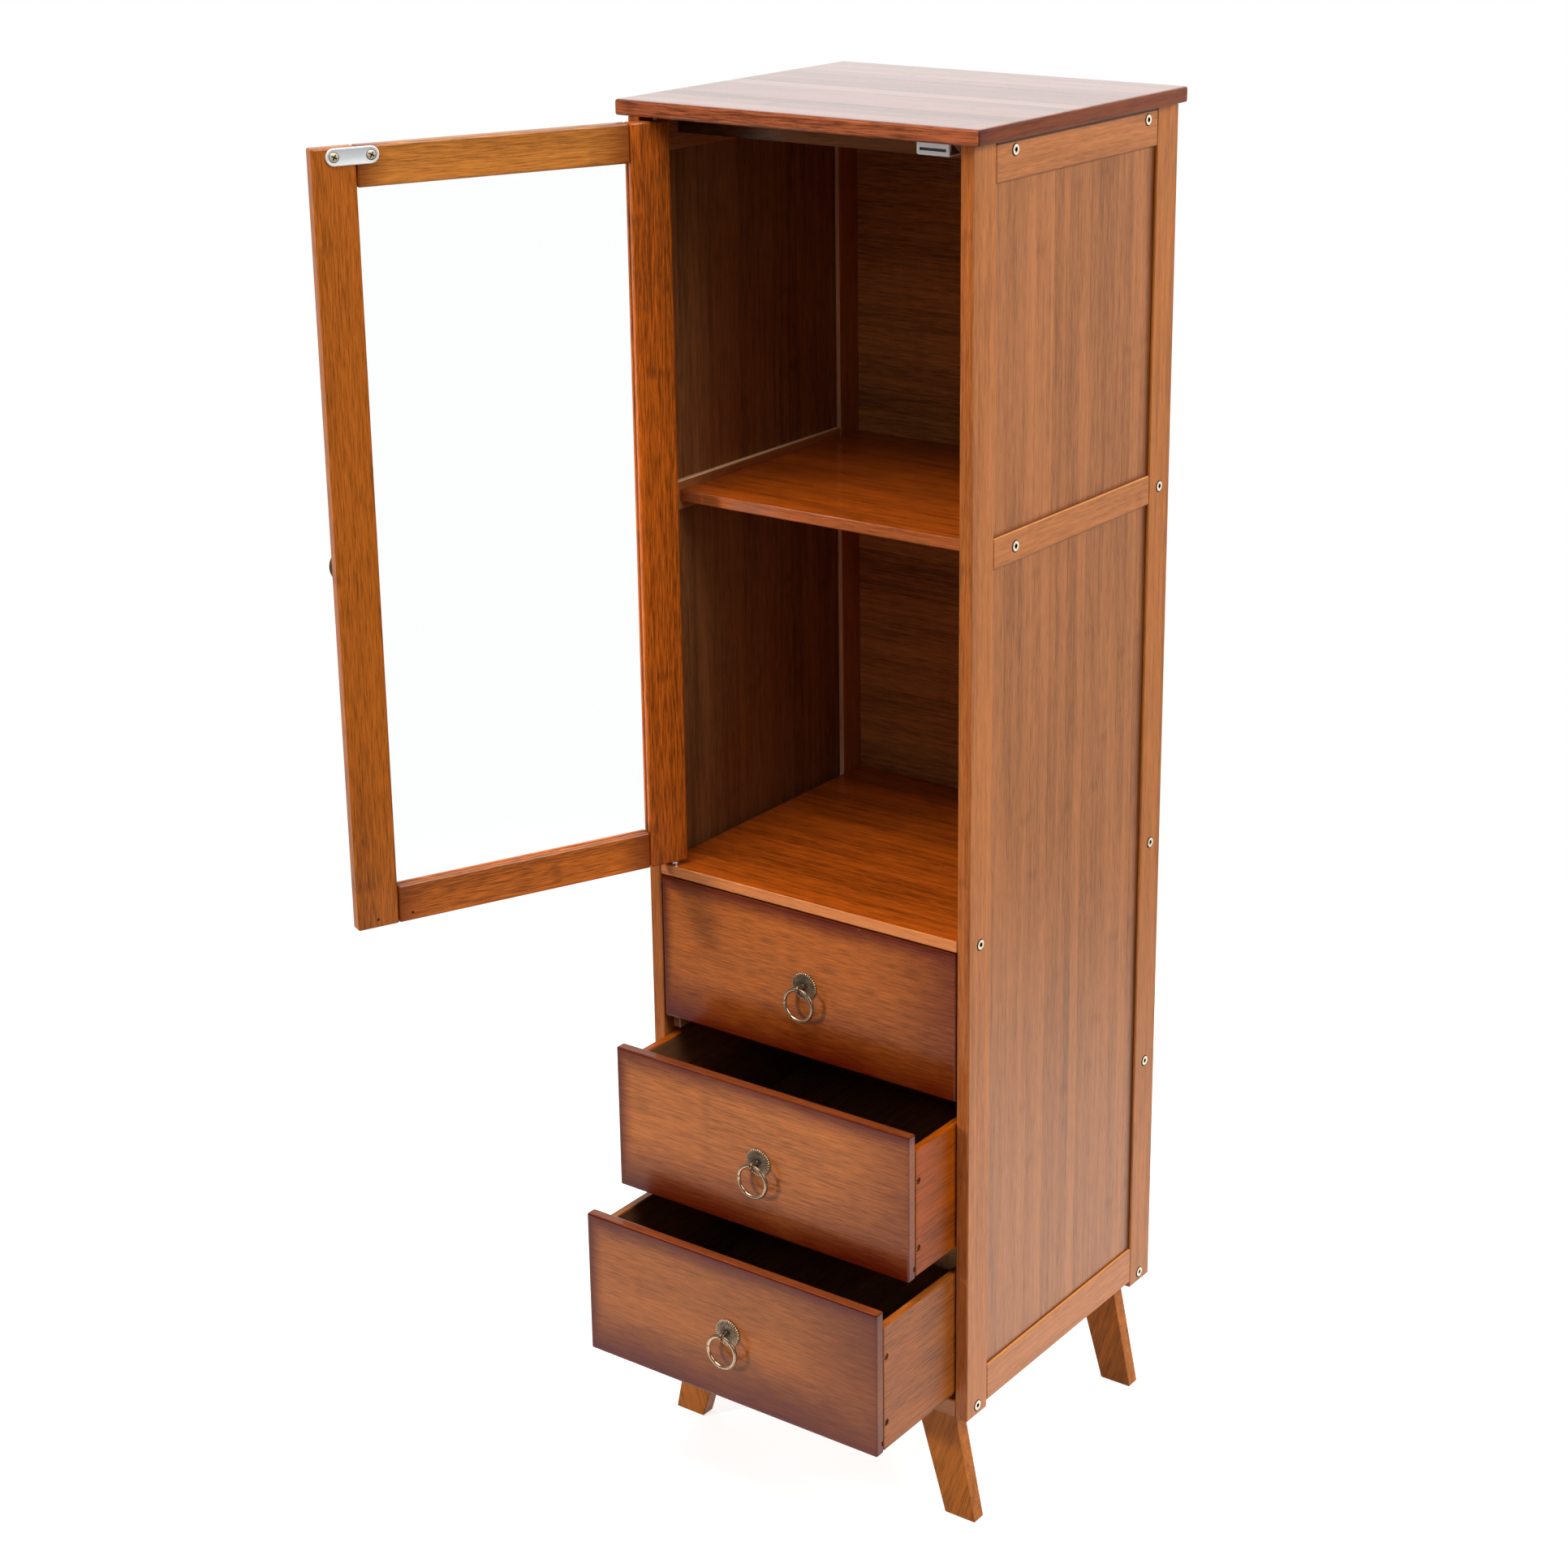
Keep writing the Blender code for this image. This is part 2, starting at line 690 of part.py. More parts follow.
# Runners on the side frames, under the sides of the top and middle drawers
for level in ("top", "middle"):
    runner_high = FRONT_Z[level] + SIDE_LIFT - SEAT
    for label, side in (("left", -1.0), ("right", 1.0)):
        board(
            f"{label}_{level}_runner",
            sided(side, INNER - RUNNER_WIDTH, BOARD_END),
            RUNNER_Y,
            (runner_high - RUNNER_HEIGHT, runner_high),
            RAW_BAMBOO,
            CASE,
            EASE / 2,
        )


# Legs
def leg_mesh():
    """A tapered board that leans outwards; X is measured from the frame's inner face."""
    top = LEG_HEIGHT - SEAT
    top_outer = -LEG_TOP_IN
    foot_outer = top_outer + LEG_SPLAY
    points = [
        (top_outer - LEG_TOP_WIDTH, top),
        (foot_outer - LEG_FOOT_WIDTH, 0.0),
        (foot_outer, 0.0),
        (top_outer, top),
    ]
    return upright_mesh("leg", points, LEG_THICK)


LEG = leg_mesh()
MIRRORED_LEG = LEG.copy()
MIRRORED_LEG.transform(Matrix.Rotation(math.pi, 4, "Z"))
for end_name, y in (
    ("front", LEG_FRONT_IN + LEG_THICK / 2),
    ("rear", BODY_DEPTH - LEG_REAR_IN - LEG_THICK / 2),
):
    for label, side, leg in (("left", -1.0, MIRRORED_LEG), ("right", 1.0, LEG)):
        leg_name = f"{end_name}_{label}_leg"
        ease_edges(piece(leg_name, leg, FRAME_BAMBOO, CASE, (side * INNER, y, 0.0)), EASE)


# Ring pulls, modelled on a face at Y = 0 with the pull towards -Y
def pull_plate_mesh():
    """A fluted plate with a low dome, a post and an eye, joined into one solid."""
    steps = PULL_FLUTES * 2
    points = []
    for step in range(steps):
        angle = 2 * math.pi * step / steps
        wave = 0.5 - 0.5 * math.cos(PULL_FLUTES * angle)
        radius = PULL_RADIUS - PULL_FLUTE_DEPTH * wave
        points.append((radius * math.cos(angle), radius * math.sin(angle)))
    rim = upright_mesh("pull_rim", points, PULL_RIM_THICK)
    rim.transform(Matrix.Translation((0.0, -PULL_RIM_THICK / 2, 0.0)))
    plate = bpy.data.objects.new("pull_source", rim)
    bpy.context.scene.collection.objects.link(plate)

    dome_top = PULL_RIM_THICK + PULL_DOME_HEIGHT
    post_top = EYE_REACH - EYE_RADIUS + POST_INTO_EYE
    profile = [
        (0.0, post_top),
        (POST_RADIUS, post_top),
        (POST_RADIUS, dome_top),
        (PULL_CREST_RADIUS, PULL_RIM_THICK + PULL_CREST_HEIGHT),
        (PULL_DOME_RADIUS, PULL_RIM_THICK + PULL_DOME_STEP),
        (PULL_DOME_RADIUS, PULL_RIM_THICK / 2),
        (0.0, PULL_RIM_THICK / 2),
    ]
    dome = turned_mesh("pull_dome", profile, 24)
    dome.transform(Matrix.Rotation(math.radians(90.0), 4, "X"))
    dome_tool = cutter("pull_dome", dome)
    combine(plate, dome_tool, "UNION")

    eye = torus_mesh("pull_eye", EYE_RADIUS, EYE_WIRE_RADIUS, 16, 8)
    eye.transform(Matrix.Translation((0.0, -EYE_REACH, 0.0)))
    eye_tool = cutter("pull_eye", eye)
    combine(plate, eye_tool, "UNION")
    return smooth(baked_mesh("pull_plate", plate, dome_tool, eye_tool))


def pull_ring_mesh():
    """A ring hanging from the origin, in the plane of X and Z."""
    ring = torus_mesh("pull_ring", RING_RADIUS, RING_WIRE_RADIUS, 28, 8)
    ring.transform(Matrix.Rotation(math.radians(90.0), 4, "Z"))
    ring.transform(Matrix.Translation((0.0, 0.0, -RING_RADIUS)))
    return smooth(ring)


PULL_PLATE = pull_plate_mesh()
PULL_RING = pull_ring_mesh()


def ring_pull(label, parent, x, face_y, z):
    """A plate on a face that looks to -Y, and its ring on an empty at the eye."""
    piece(f"{label}_pull_plate", PULL_PLATE, ANTIQUE_BRASS, parent, (x, face_y - SEAT, z))
    eye = pivot(f"{label}_ring_hinge", (x, face_y - SEAT - EYE_REACH, z), parent)
    piece(f"{label}_pull_ring", PULL_RING, ANTIQUE_BRASS, eye)


# Drawers, modelled from the middle of the front's lower edge
SIDE_TOP = FRONT_HEIGHT - SIDE_DROP
SIDE_INNER = DRAWER_HALF - SIDE_THICK
TRAY_Z = (TRAY_LIFT, TRAY_LIFT + TRAY_THICK)
SCREW_Y = FRONT_THICK + RABBET_THICK / 2


def screw_mesh(name, radius, length, head_radius, head_thick, segments):
    """A screw along -Z, its head's top at zero, with a cross recess."""
    profile = [
        (0.0, 0.0),
        (head_radius, -head_thick * 0.25),
        (head_radius, -head_thick * 0.5),
        (radius, -head_thick),
        (radius, -length),
        (0.0, -length - radius),
    ]
    plain = bpy.data.objects.new(name + "_source", turned_mesh(name + "_blank", profile, segments))
    bpy.context.scene.collection.objects.link(plain)
    arm = head_radius * CROSS_REACH
    blade = head_radius * CROSS_HALF_WIDTH
    depth = head_thick * CROSS_DEPTH
    slots = []
    for x, y in ((arm, blade), (blade, arm)):
        slots.append(box_cutter(name + "_cross", (-x, x), (-y, y), (-depth, depth)))
        combine(plain, slots[-1])
    return baked_mesh(name, plain, *slots)


def hole_mesh(name, radius, length, head_radius, sink, head_thick, segments):
    """The hole for a screw sunk below a face at zero."""
    seat = -sink - head_thick
    profile = [
        (0.0, head_radius),
        (head_radius + SEAT, head_radius),
        (head_radius + SEAT, seat),
        (radius + SEAT, seat - SEAT),
        (radius + SEAT, -sink - length - radius - SEAT),
        (0.0, -sink - length - radius - SEAT),
    ]
    return turned_mesh(name, profile, segments)


def drawer_screw_matrices(sink):
    matrices = []
    for side in (-1.0, 1.0):
        for z in (LOW_SCREW_RISE, HIGH_SCREW_RISE):
            spot = (side * (DRAWER_HALF - sink), SCREW_Y, z)
            matrices.append(facing((side, 0.0, 0.0), spot))
    return matrices


DRAWER_SCREW = screw_mesh(
    "drawer_screw", SCREW_RADIUS, SCREW_LENGTH, SCREW_HEAD_RADIUS, SCREW_HEAD_THICK, 10
)
DRAWER_SCREWS = copies_mesh("drawer_screws", DRAWER_SCREW, drawer_screw_matrices(SCREW_SINK))
DRAWER_HOLE = hole_mesh(
    "drawer_screw_hole",
    SCREW_RADIUS,
    SCREW_LENGTH,
    SCREW_HEAD_RADIUS,
    SCREW_SINK,
    SCREW_HEAD_THICK,
    10,
)
DRAWER_HOLES = copies_mesh("drawer_screw_holes", DRAWER_HOLE, drawer_screw_matrices(0.0))


def drawer(level, out):
    """A rabbeted front with its screws, two sides, a back and a bottom let into grooves."""
    body = pivot(f"drawer_{level}_slide", (0.0, -out, FRONT_Z[level]), CASE)
    label = f"drawer_{level}"
    screw_holes = cutter(f"{label}_screw_holes", DRAWER_HOLES, body)

    tray_x = grown((-SIDE_INNER, SIDE_INNER), TRAY_GROOVE)
    tray_y = (FRONT_THICK - TRAY_GROOVE, DRAWER_LENGTH)
    board(f"{label}_bottom", tray_x, tray_y, TRAY_Z, DRAWER_BOX_BAMBOO, body, EASE / 2)
    side_groove = box_cutter(
        f"{label}_side_groove",
        grown(tray_x, SEAT),
        grown((FRONT_THICK, DRAWER_LENGTH), SIDE_THICK),
        grown(TRAY_Z, SEAT),
        body,
    )
    front_groove = box_cutter(
        f"{label}_front_groove",
        grown((-DRAWER_HALF, DRAWER_HALF), SIDE_THICK),
        (FRONT_THICK - TRAY_GROOVE - SEAT, FRONT_THICK + SIDE_THICK),
        grown(TRAY_Z, SEAT),
        body,
    )

    front = board(
        f"{label}_front",
        (-DRAWER_HALF, DRAWER_HALF),
        (0.0, FRONT_THICK),
        (0.0, FRONT_HEIGHT),
        DRAWER_FRONT_BAMBOO,
        body,
        FRONT_EASE,
        2,
    )
    rabbet = box_cutter(
        f"{label}_rabbet",
        grown((-SIDE_INNER, SIDE_INNER), -SEAT),
        (FRONT_THICK / 2, FRONT_THICK + RABBET_THICK),
        (TRAY_Z[1] + SEAT, SIDE_TOP),
        body,
    )
    combine(front, front_groove)
    combine(front, rabbet, "UNION")
    combine(front, cutter(f"{label}_screws", DRAWER_SCREWS, body), "UNION")

    side_y = (FRONT_THICK + SEAT, DRAWER_LENGTH)
    side_z = (SIDE_LIFT, SIDE_TOP)
    for name, side in (("left", -1.0), ("right", 1.0)):
        x = sided(side, SIDE_INNER, DRAWER_HALF)
        wall = board(f"{label}_{name}_side", x, side_y, side_z, DRAWER_BOX_BAMBOO, body)
        combine(wall, side_groove)
        combine(wall, screw_holes)

    board(
        f"{label}_back",
        grown((-SIDE_INNER, SIDE_INNER), -SEAT),
        (DRAWER_LENGTH - DRAWER_BACK_THICK, DRAWER_LENGTH),
        (TRAY_Z[1] + SEAT, SIDE_TOP),
        DRAWER_BOX_BAMBOO,
        body,
    )
    ring_pull(label, body, 0.0, 0.0, FRONT_HEIGHT / 2)


drawer("top", 0.0)
drawer("middle", MIDDLE_DRAWER_OUT)
drawer("bottom", BOTTOM_DRAWER_OUT)

# Door, modelled shut about its pins and turned open on its empty
DOOR = pivot("door_hinge", (PIVOT_X, PIVOT_Y, 0.0), CASE, -math.radians(DOOR_OPEN_DEG))
DOOR_Y = (-HALF_DOOR, HALF_DOOR)
GLASS_LEFT = DOOR_HINGE_EDGE + DOOR_STILE_WIDTH
GLASS_RIGHT = DOOR_FREE_EDGE - DOOR_STILE_WIDTH
GLASS_LOW = DOOR_Z + DOOR_BOTTOM_RAIL
GLASS_HIGH = DOOR_TOP_Z - DOOR_TOP_RAIL


def door_board(name, x, z):
    return board(name, x, DOOR_Y, z, DOOR_BAMBOO, DOOR, DOOR_EASE, 2)


def pilot_places():
    """Two unused pilot holes low on the door, under the strike plate's own screws."""
    half = STRIKE_SCREW_APART / 2
    return [(STRIKE_X - half, DOOR_Z + PILOT_RISE), (STRIKE_X + half, DOOR_Z + PILOT_RISE)]


def strike_screw_places():
    half = STRIKE_SCREW_APART / 2
    return [(STRIKE_X - half, STRIKE_Z), (STRIKE_X + half, STRIKE_Z)]


def inner_face(x, z, proud=0.0):
    """A matrix on the door's inner face, with +Z pointing out of it."""
    return facing((0.0, 1.0, 0.0), (x, HALF_DOOR + proud, z))


def door_holes():
    """The cutters for the pins, the strike plate's screws and the pilot holes."""
    pin = rod_mesh("pin_hole", PIN_RADIUS + SEAT, -PIN_IN_DOOR - SEAT, PIN_IN_DOOR + SEAT, 16)
    pins = [Matrix.Translation((0.0, 0.0, z)) for z in (DOOR_Z, DOOR_TOP_Z)]
    radius = STRIKE_SCREW_RADIUS + SEAT
    depth = STRIKE_SCREW_LENGTH + STRIKE_SCREW_RADIUS + SEAT
    screw = rod_mesh("strike_screw_hole", radius, -depth, STRIKE_THICK, 10)
    screws = [inner_face(x, z) for x, z in strike_screw_places()]
    pilot = rod_mesh("pilot_hole", PILOT_RADIUS, -PILOT_DEPTH, PILOT_DEPTH, 8)
    pilots = [inner_face(x, z) for x, z in pilot_places()]
    return [
        cutter("pin_holes", copies_mesh("pin_holes", pin, pins), DOOR),
        cutter("strike_holes", copies_mesh("strike_holes", screw, screws), DOOR),
        cutter("pilot_holes", copies_mesh("pilot_holes", pilot, pilots), DOOR),
    ]


def door():
    pin_holes, strike_holes, pilot_holes = door_holes()
    glass_x = grown((GLASS_LEFT, GLASS_RIGHT), GLASS_TONGUE)
    glass_y = (-GLASS_THICK / 2, GLASS_THICK / 2)
    glass_z = grown((GLASS_LOW, GLASS_HIGH), GLASS_TONGUE)
    board("door_glass", glass_x, glass_y, glass_z, CLEAR_GLASS, DOOR, EASE / 4)
    groove = box_cutter(
        "glass_groove",
        grown(glass_x, SEAT),
        grown(glass_y, SEAT),
        grown(glass_z, SEAT),
        DOOR,
    )
    full_height = (DOOR_Z, DOOR_TOP_Z)
    rail_x = grown((GLASS_LEFT, GLASS_RIGHT), -SEAT)
    hinge_stile = door_board("door_hinge_stile", (DOOR_HINGE_EDGE, GLASS_LEFT), full_height)
    lock_stile = door_board("door_lock_stile", (GLASS_RIGHT, DOOR_FREE_EDGE), full_height)
    top_rail = door_board("door_top_rail", rail_x, (GLASS_HIGH, DOOR_TOP_Z))
    bottom_rail = door_board("door_bottom_rail", rail_x, (DOOR_Z, GLASS_LOW))
    for member in (hinge_stile, lock_stile, top_rail, bottom_rail):
        combine(member, groove)
    combine(hinge_stile, pin_holes)
    for member in (lock_stile, top_rail):
        combine(member, strike_holes)
    for member in (lock_stile, bottom_rail):
        combine(member, pilot_holes)
    ring_pull(
        "door",
        DOOR,
        DOOR_FREE_EDGE - DOOR_STILE_WIDTH / 2,
        -HALF_DOOR,
        (DOOR_Z + DOOR_TOP_Z) / 2,
    )


door()


# Strike plate with round ends, and its screws
def strike_plate():
    """A flat plate whose ends are half circles, joined with its two screws."""
    end_radius = STRIKE_HEIGHT / 2
    reach = STRIKE_LENGTH / 2 - end_radius
    arc = 8
    points = []
    for side, start in ((1.0, -math.pi / 2), (-1.0, math.pi / 2)):
        for step in range(arc + 1):
            angle = start + math.pi * step / arc
            x = side * reach + end_radius * math.cos(angle)
            points.append((x, end_radius * math.sin(angle)))
    mesh = upright_mesh("door_strike_plate", points, STRIKE_THICK)
    spot = (STRIKE_X, HALF_DOOR + SEAT + STRIKE_THICK / 2, STRIKE_Z)
    plate = piece("door_strike_plate", mesh, BRIGHT_ZINC, DOOR, spot)
    head = STRIKE_THICK + STRIKE_SCREW_HEAD_THICK + SEAT
    screw = screw_mesh(
        "strike_screw",
        STRIKE_SCREW_RADIUS,
        STRIKE_SCREW_HEAD_THICK + STRIKE_THICK + STRIKE_SCREW_LENGTH,
        STRIKE_SCREW_HEAD_RADIUS,
        STRIKE_SCREW_HEAD_THICK,
        12,
    )
    matrices = [inner_face(x, z, head) for x, z in strike_screw_places()]
    screws = copies_mesh("strike_screws", screw, matrices)
    combine(plate, cutter("strike_screws", screws, DOOR), "UNION")


strike_plate()


# Magnetic catch under the top panel, where the shut door brings its strike plate
def magnetic_catch():
    x = PIVOT_X + STRIKE_X
    y = PIVOT_Y + HALF_DOOR + SEAT + STRIKE_THICK + STRIKE_SCREW_HEAD_THICK + CATCH_GAP
    z = (TOP_Z - SEAT - CATCH_HEIGHT, TOP_Z - SEAT)
    half = CATCH_WIDTH / 2
    depth = (y, y + CATCH_DEPTH)
    housing = board(
        "magnetic_catch", (x - half, x + half), depth, z, WHITE_PLASTIC, CASE, CATCH_EASE, 2
    )
    slot_z = z[0] + CATCH_SLOT_RISE
    slot = box_cutter(
        "catch_slot",
        (x - CATCH_SLOT_LENGTH / 2, x + CATCH_SLOT_LENGTH / 2),
        (y - CATCH_SLOT_DEPTH, y + CATCH_SLOT_DEPTH),
        (slot_z - CATCH_SLOT_HEIGHT / 2, slot_z + CATCH_SLOT_HEIGHT / 2),
        CASE,
    )
    combine(housing, slot)


magnetic_catch()


# Pivot pins let into the compartment floor and the top panel
def pivot_pins():
    lower = [
        (0.0, DOOR_BOTTOM_GAP + PIN_IN_DOOR),
        (PIN_RADIUS, DOOR_BOTTOM_GAP + PIN_IN_DOOR),
        (PIN_RADIUS, DOOR_BOTTOM_GAP - SEAT),
        (COLLAR_RADIUS, DOOR_BOTTOM_GAP - SEAT),
        (COLLAR_RADIUS, SEAT),
        (PIN_RADIUS, SEAT),
        (PIN_RADIUS, -PIN_IN_BOARD),
        (0.0, -PIN_IN_BOARD),
    ]
    upper = [
        (0.0, PIN_IN_BOARD),
        (PIN_RADIUS, PIN_IN_BOARD),
        (PIN_RADIUS, -DOOR_TOP_GAP - PIN_IN_DOOR),
        (0.0, -DOOR_TOP_GAP - PIN_IN_DOOR),
    ]
    for name, profile, z in (("lower", lower, FLOOR_TOP_Z), ("upper", upper, TOP_Z)):
        mesh = smooth(turned_mesh(f"{name}_pivot_pin", profile, 16))
        piece(f"{name}_pivot_pin", mesh, BRIGHT_ZINC, CASE, (PIVOT_X, PIVOT_Y, z))


pivot_pins()


# Origin on the floor, under the middle of everything as it stands
def centre_on_floor():
    bpy.context.view_layer.update()
    view = bpy.context.evaluated_depsgraph_get()
    corners = []
    for obj in CABINET.objects:
        if obj.type == "MESH":
            evaluated = obj.evaluated_get(view)
            world = evaluated.matrix_world
            corners.extend(world @ vertex.co for vertex in evaluated.data.vertices)
    for axis in (0, 1):
        values = [corner[axis] for corner in corners]
        CASE.location[axis] = -(min(values) + max(values)) / 2


centre_on_floor()
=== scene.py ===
"""The looks of the bathroom cabinet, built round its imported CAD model."""

import math

import bmesh
import bpy
from mathutils import Matrix, Vector

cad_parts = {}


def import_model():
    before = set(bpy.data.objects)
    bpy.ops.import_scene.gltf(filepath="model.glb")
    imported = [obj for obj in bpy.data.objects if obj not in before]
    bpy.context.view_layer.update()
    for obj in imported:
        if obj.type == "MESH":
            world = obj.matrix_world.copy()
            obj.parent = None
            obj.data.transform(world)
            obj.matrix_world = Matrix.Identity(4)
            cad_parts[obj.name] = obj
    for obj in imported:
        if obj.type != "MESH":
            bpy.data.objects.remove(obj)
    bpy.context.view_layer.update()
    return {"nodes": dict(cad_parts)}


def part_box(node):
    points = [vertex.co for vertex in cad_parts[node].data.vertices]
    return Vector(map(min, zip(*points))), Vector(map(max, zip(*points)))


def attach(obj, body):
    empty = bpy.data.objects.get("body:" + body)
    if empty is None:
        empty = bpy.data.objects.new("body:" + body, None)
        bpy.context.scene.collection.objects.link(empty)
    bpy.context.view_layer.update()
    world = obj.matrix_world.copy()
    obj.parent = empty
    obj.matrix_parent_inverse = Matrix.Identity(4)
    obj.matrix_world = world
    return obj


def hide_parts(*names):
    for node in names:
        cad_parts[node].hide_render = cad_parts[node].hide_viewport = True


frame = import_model()
NODES = frame["nodes"]

# The case, in metres, as in the CAD model: its middle and its front
CASE_X = 0.050439
CASE_Y = -0.023091

# Distances sideways from the case's middle
DRAWER_INNER = 0.1446
DRAWER_OUTER = 0.1520
FRAME_INNER = 0.1533
PANEL_INNER = 0.1583
FRAME_OUTER = 0.1653
TOP_OUTER = 0.1733

# Edges of the boards, from front to back and from the floor up
FLOOR_FRONT_Y = -0.0231
SHELF_FRONT_Y = 0.0169
BACK_STILE_Y = 0.2512
PANEL_BACK_Y = 0.2530
TOP_UNDER_Z = 1.187
TOP_RAIL_SHADE_Z = 1.1832
MIDDLE_RAIL_TOP_Z = 0.8779
BOTTOM_RAIL_TOP_Z = 0.1477
UPPER_PANEL_Z = 0.8780
LOWER_PANEL_Z = 0.1478
LEVELS = ("top", "middle", "bottom")

# How near its plane the centre of a face is taken to lie in it
NEAR = 0.0004

# Door and legs
DOOR_PIN = (-0.091025, -0.017091, 0.0)
DOOR_ANGLE = math.radians(114.0)
DOOR_TURN = (DOOR_ANGLE, DOOR_PIN)
DOOR_FACE_TURN = -DOOR_ANGLE
DOOR_PULL_PLACE = (-0.208436, -0.265309, 0.86725)
LEG_LEAN = math.radians(17.0)

# Camera: its place in metres, and its turns in radians
CAMERA_PLACE = (1.4090, -1.8648, 1.4938)
CAMERA_TURN = 0.617
CAMERA_DOWN = 0.307
CAMERA_ROLL = -0.007
CAMERA_LENS = 67.85
CAMERA_SHIFT = (-0.0438, -0.0867)


def camera():
    data = bpy.data.cameras.new("camera")
    data.sensor_width = 36.0
    data.lens = CAMERA_LENS
    data.shift_x, data.shift_y = CAMERA_SHIFT
    data.clip_end = 100.0
    obj = bpy.data.objects.new("camera", data)
    turn = Matrix.Rotation(CAMERA_TURN, 4, "Z")
    tilt = Matrix.Rotation(math.pi / 2 - CAMERA_DOWN, 4, "X")
    roll = Matrix.Rotation(CAMERA_ROLL, 4, "Z")
    obj.matrix_world = Matrix.Translation(CAMERA_PLACE) @ turn @ tilt @ roll
    bpy.context.scene.collection.objects.link(obj)
    bpy.context.scene.camera = obj


# Materials
class Tree:
    """The node tree of one material, with a short call for each kind of node."""

    def __init__(self, name):
        self.material = bpy.data.materials.new(name)
        self.material.use_nodes = True
        self.nodes = self.material.node_tree.nodes
        self.links = self.material.node_tree.links
        self.surface = self.nodes["Principled BSDF"]

    def put(self, value, socket):
        if isinstance(value, bpy.types.NodeSocket):
            self.links.new(value, socket)
        else:
            socket.default_value = value

    def look(self, **values):
        """Sets inputs of the surface; an underscore in a name stands for a space."""
        for name, value in values.items():
            self.put(value, self.surface.inputs[name.replace("_", " ")])

    def math(self, operation, a, b=0.0, c=0.0):
        node = self.nodes.new("ShaderNodeMath")
        node.operation = operation
        for value, socket in zip((a, b, c), node.inputs):
            self.put(value, socket)
        return node.outputs[0]

    def total(self, *terms):
        """The sum of numbers, sockets and (socket, factor) pairs."""
        result = 0.0
        for term in terms:
            if isinstance(term, tuple):
                result = self.math("MULTIPLY_ADD", term[0], term[1], result)
            else:
                result = self.math("ADD", term, result)
        return result

    def step(self, value, low, high, start=0.0, end=1.0):
        """A smooth step of value from low to high."""
        node = self.nodes.new("ShaderNodeMapRange")
        node.interpolation_type = "SMOOTHSTEP"
        for item, socket in zip((value, low, high, start, end), node.inputs):
            self.put(item, socket)
        return node.outputs[0]

    def joined(self, x, y, z=0.0):
        node = self.nodes.new("ShaderNodeCombineXYZ")
        for value, socket in zip((x, y, z), node.inputs):
            self.put(value, socket)
        return node.outputs[0]

    def split(self, vector):
        node = self.nodes.new("ShaderNodeSeparateXYZ")
        self.put(vector, node.inputs[0])
        return list(node.outputs)

    def noise(self, vector, detail=2.0, roughness=0.5):
        node = self.nodes.new("ShaderNodeTexNoise")
        self.put(vector, node.inputs["Vector"])
        self.put(1.0, node.inputs["Scale"])
        self.put(detail, node.inputs["Detail"])
        self.put(roughness, node.inputs["Roughness"])
        return node.outputs[0]

    def chance(self, vector):
        """Three values that are random for each whole-numbered place."""
        node = self.nodes.new("ShaderNodeTexWhiteNoise")
        node.noise_dimensions = "3D"
        self.put(vector, node.inputs["Vector"])
        return self.split(node.outputs["Color"])

    def ramp(self, value, stops):
        node = self.nodes.new("ShaderNodeValToRGB")
        elements = node.color_ramp.elements
        while len(elements) < len(stops):
            elements.new(0.5)
        for element, (place, colour) in zip(elements, stops):
            element.position = place
            element.color = (*colour, 1.0)
        self.put(value, node.inputs[0])
        return node.outputs[0]

    def mix(self, factor, a, b, blend="MIX"):
        node = self.nodes.new("ShaderNodeMix")
        node.data_type = "RGBA"
        node.blend_type = blend
        for value, socket in ((factor, node.inputs[0]), (a, node.inputs[6]), (b, node.inputs[7])):
            if isinstance(value, tuple) and len(value) == 3:
                value = (*value, 1.0)
            self.put(value, socket)
        return node.outputs[2]

    def bump(self, height, strength, distance, normal=None):
        node = self.nodes.new("ShaderNodeBump")
        if normal is not None:
            self.put(normal, node.inputs["Normal"])
        self.put(strength, node.inputs["Strength"])
        self.put(distance, node.inputs["Distance"])
        self.put(height, node.inputs["Height"])
        self.look(Normal=node.outputs[0])

    def rub_and_shade(self):
        """How far the surface is rubbed bright, from the mesh's own attribute; on the strike screws
        its low values are painted shade.
        """
        node = self.nodes.new("ShaderNodeAttribute")
        node.attribute_name = "rub_and_shade"
        return node.outputs["Fac"]

    def place(self):
        """The point in the CAD model's own axes, in metres."""
        return self.nodes.new("ShaderNodeTexCoord").outputs["Object"]

    def speckle(self, per_metre, detail=2.0, roughness=0.5):
        """Noise with so many features per metre, or so many along each axis."""
        if not isinstance(per_metre, tuple):
            per_metre = (per_metre,) * 3
        axes = self.split(self.place())
        point = self.joined(*(self.math("MULTIPLY", a, k) for a, k in zip(axes, per_metre)))
        return self.noise(point, detail, roughness)

    def turned(self, vector, angle, centre, axis="Z_AXIS"):
        node = self.nodes.new("ShaderNodeVectorRotate")
        node.rotation_type = axis
        self.put(vector, node.inputs["Vector"])
        self.put(centre, node.inputs["Center"])
        self.put(angle, node.inputs["Angle"])
        return node.outputs[0]


def streaked(tree, along, across, through, long, fine, seed, detail=2.0, roughness=0.5):
    """Noise drawn out along the grain: long and fine are its features per metre."""
    point = tree.joined(
        tree.math("MULTIPLY", along, long),
        tree.math("MULTIPLY", across, fine),
        tree.math("MULTIPLY_ADD", through, fine, seed),
    )
    return tree.noise(point, detail, roughness)


# Features of the wood per metre along the grain and across it
WIDE = (6.0, 190.0)
FINE = (48.0, 1000.0)
BROAD = (2.2, 18.0)
PORES = (70.0, 1300.0)
RAGGED = (60.0, 420.0)

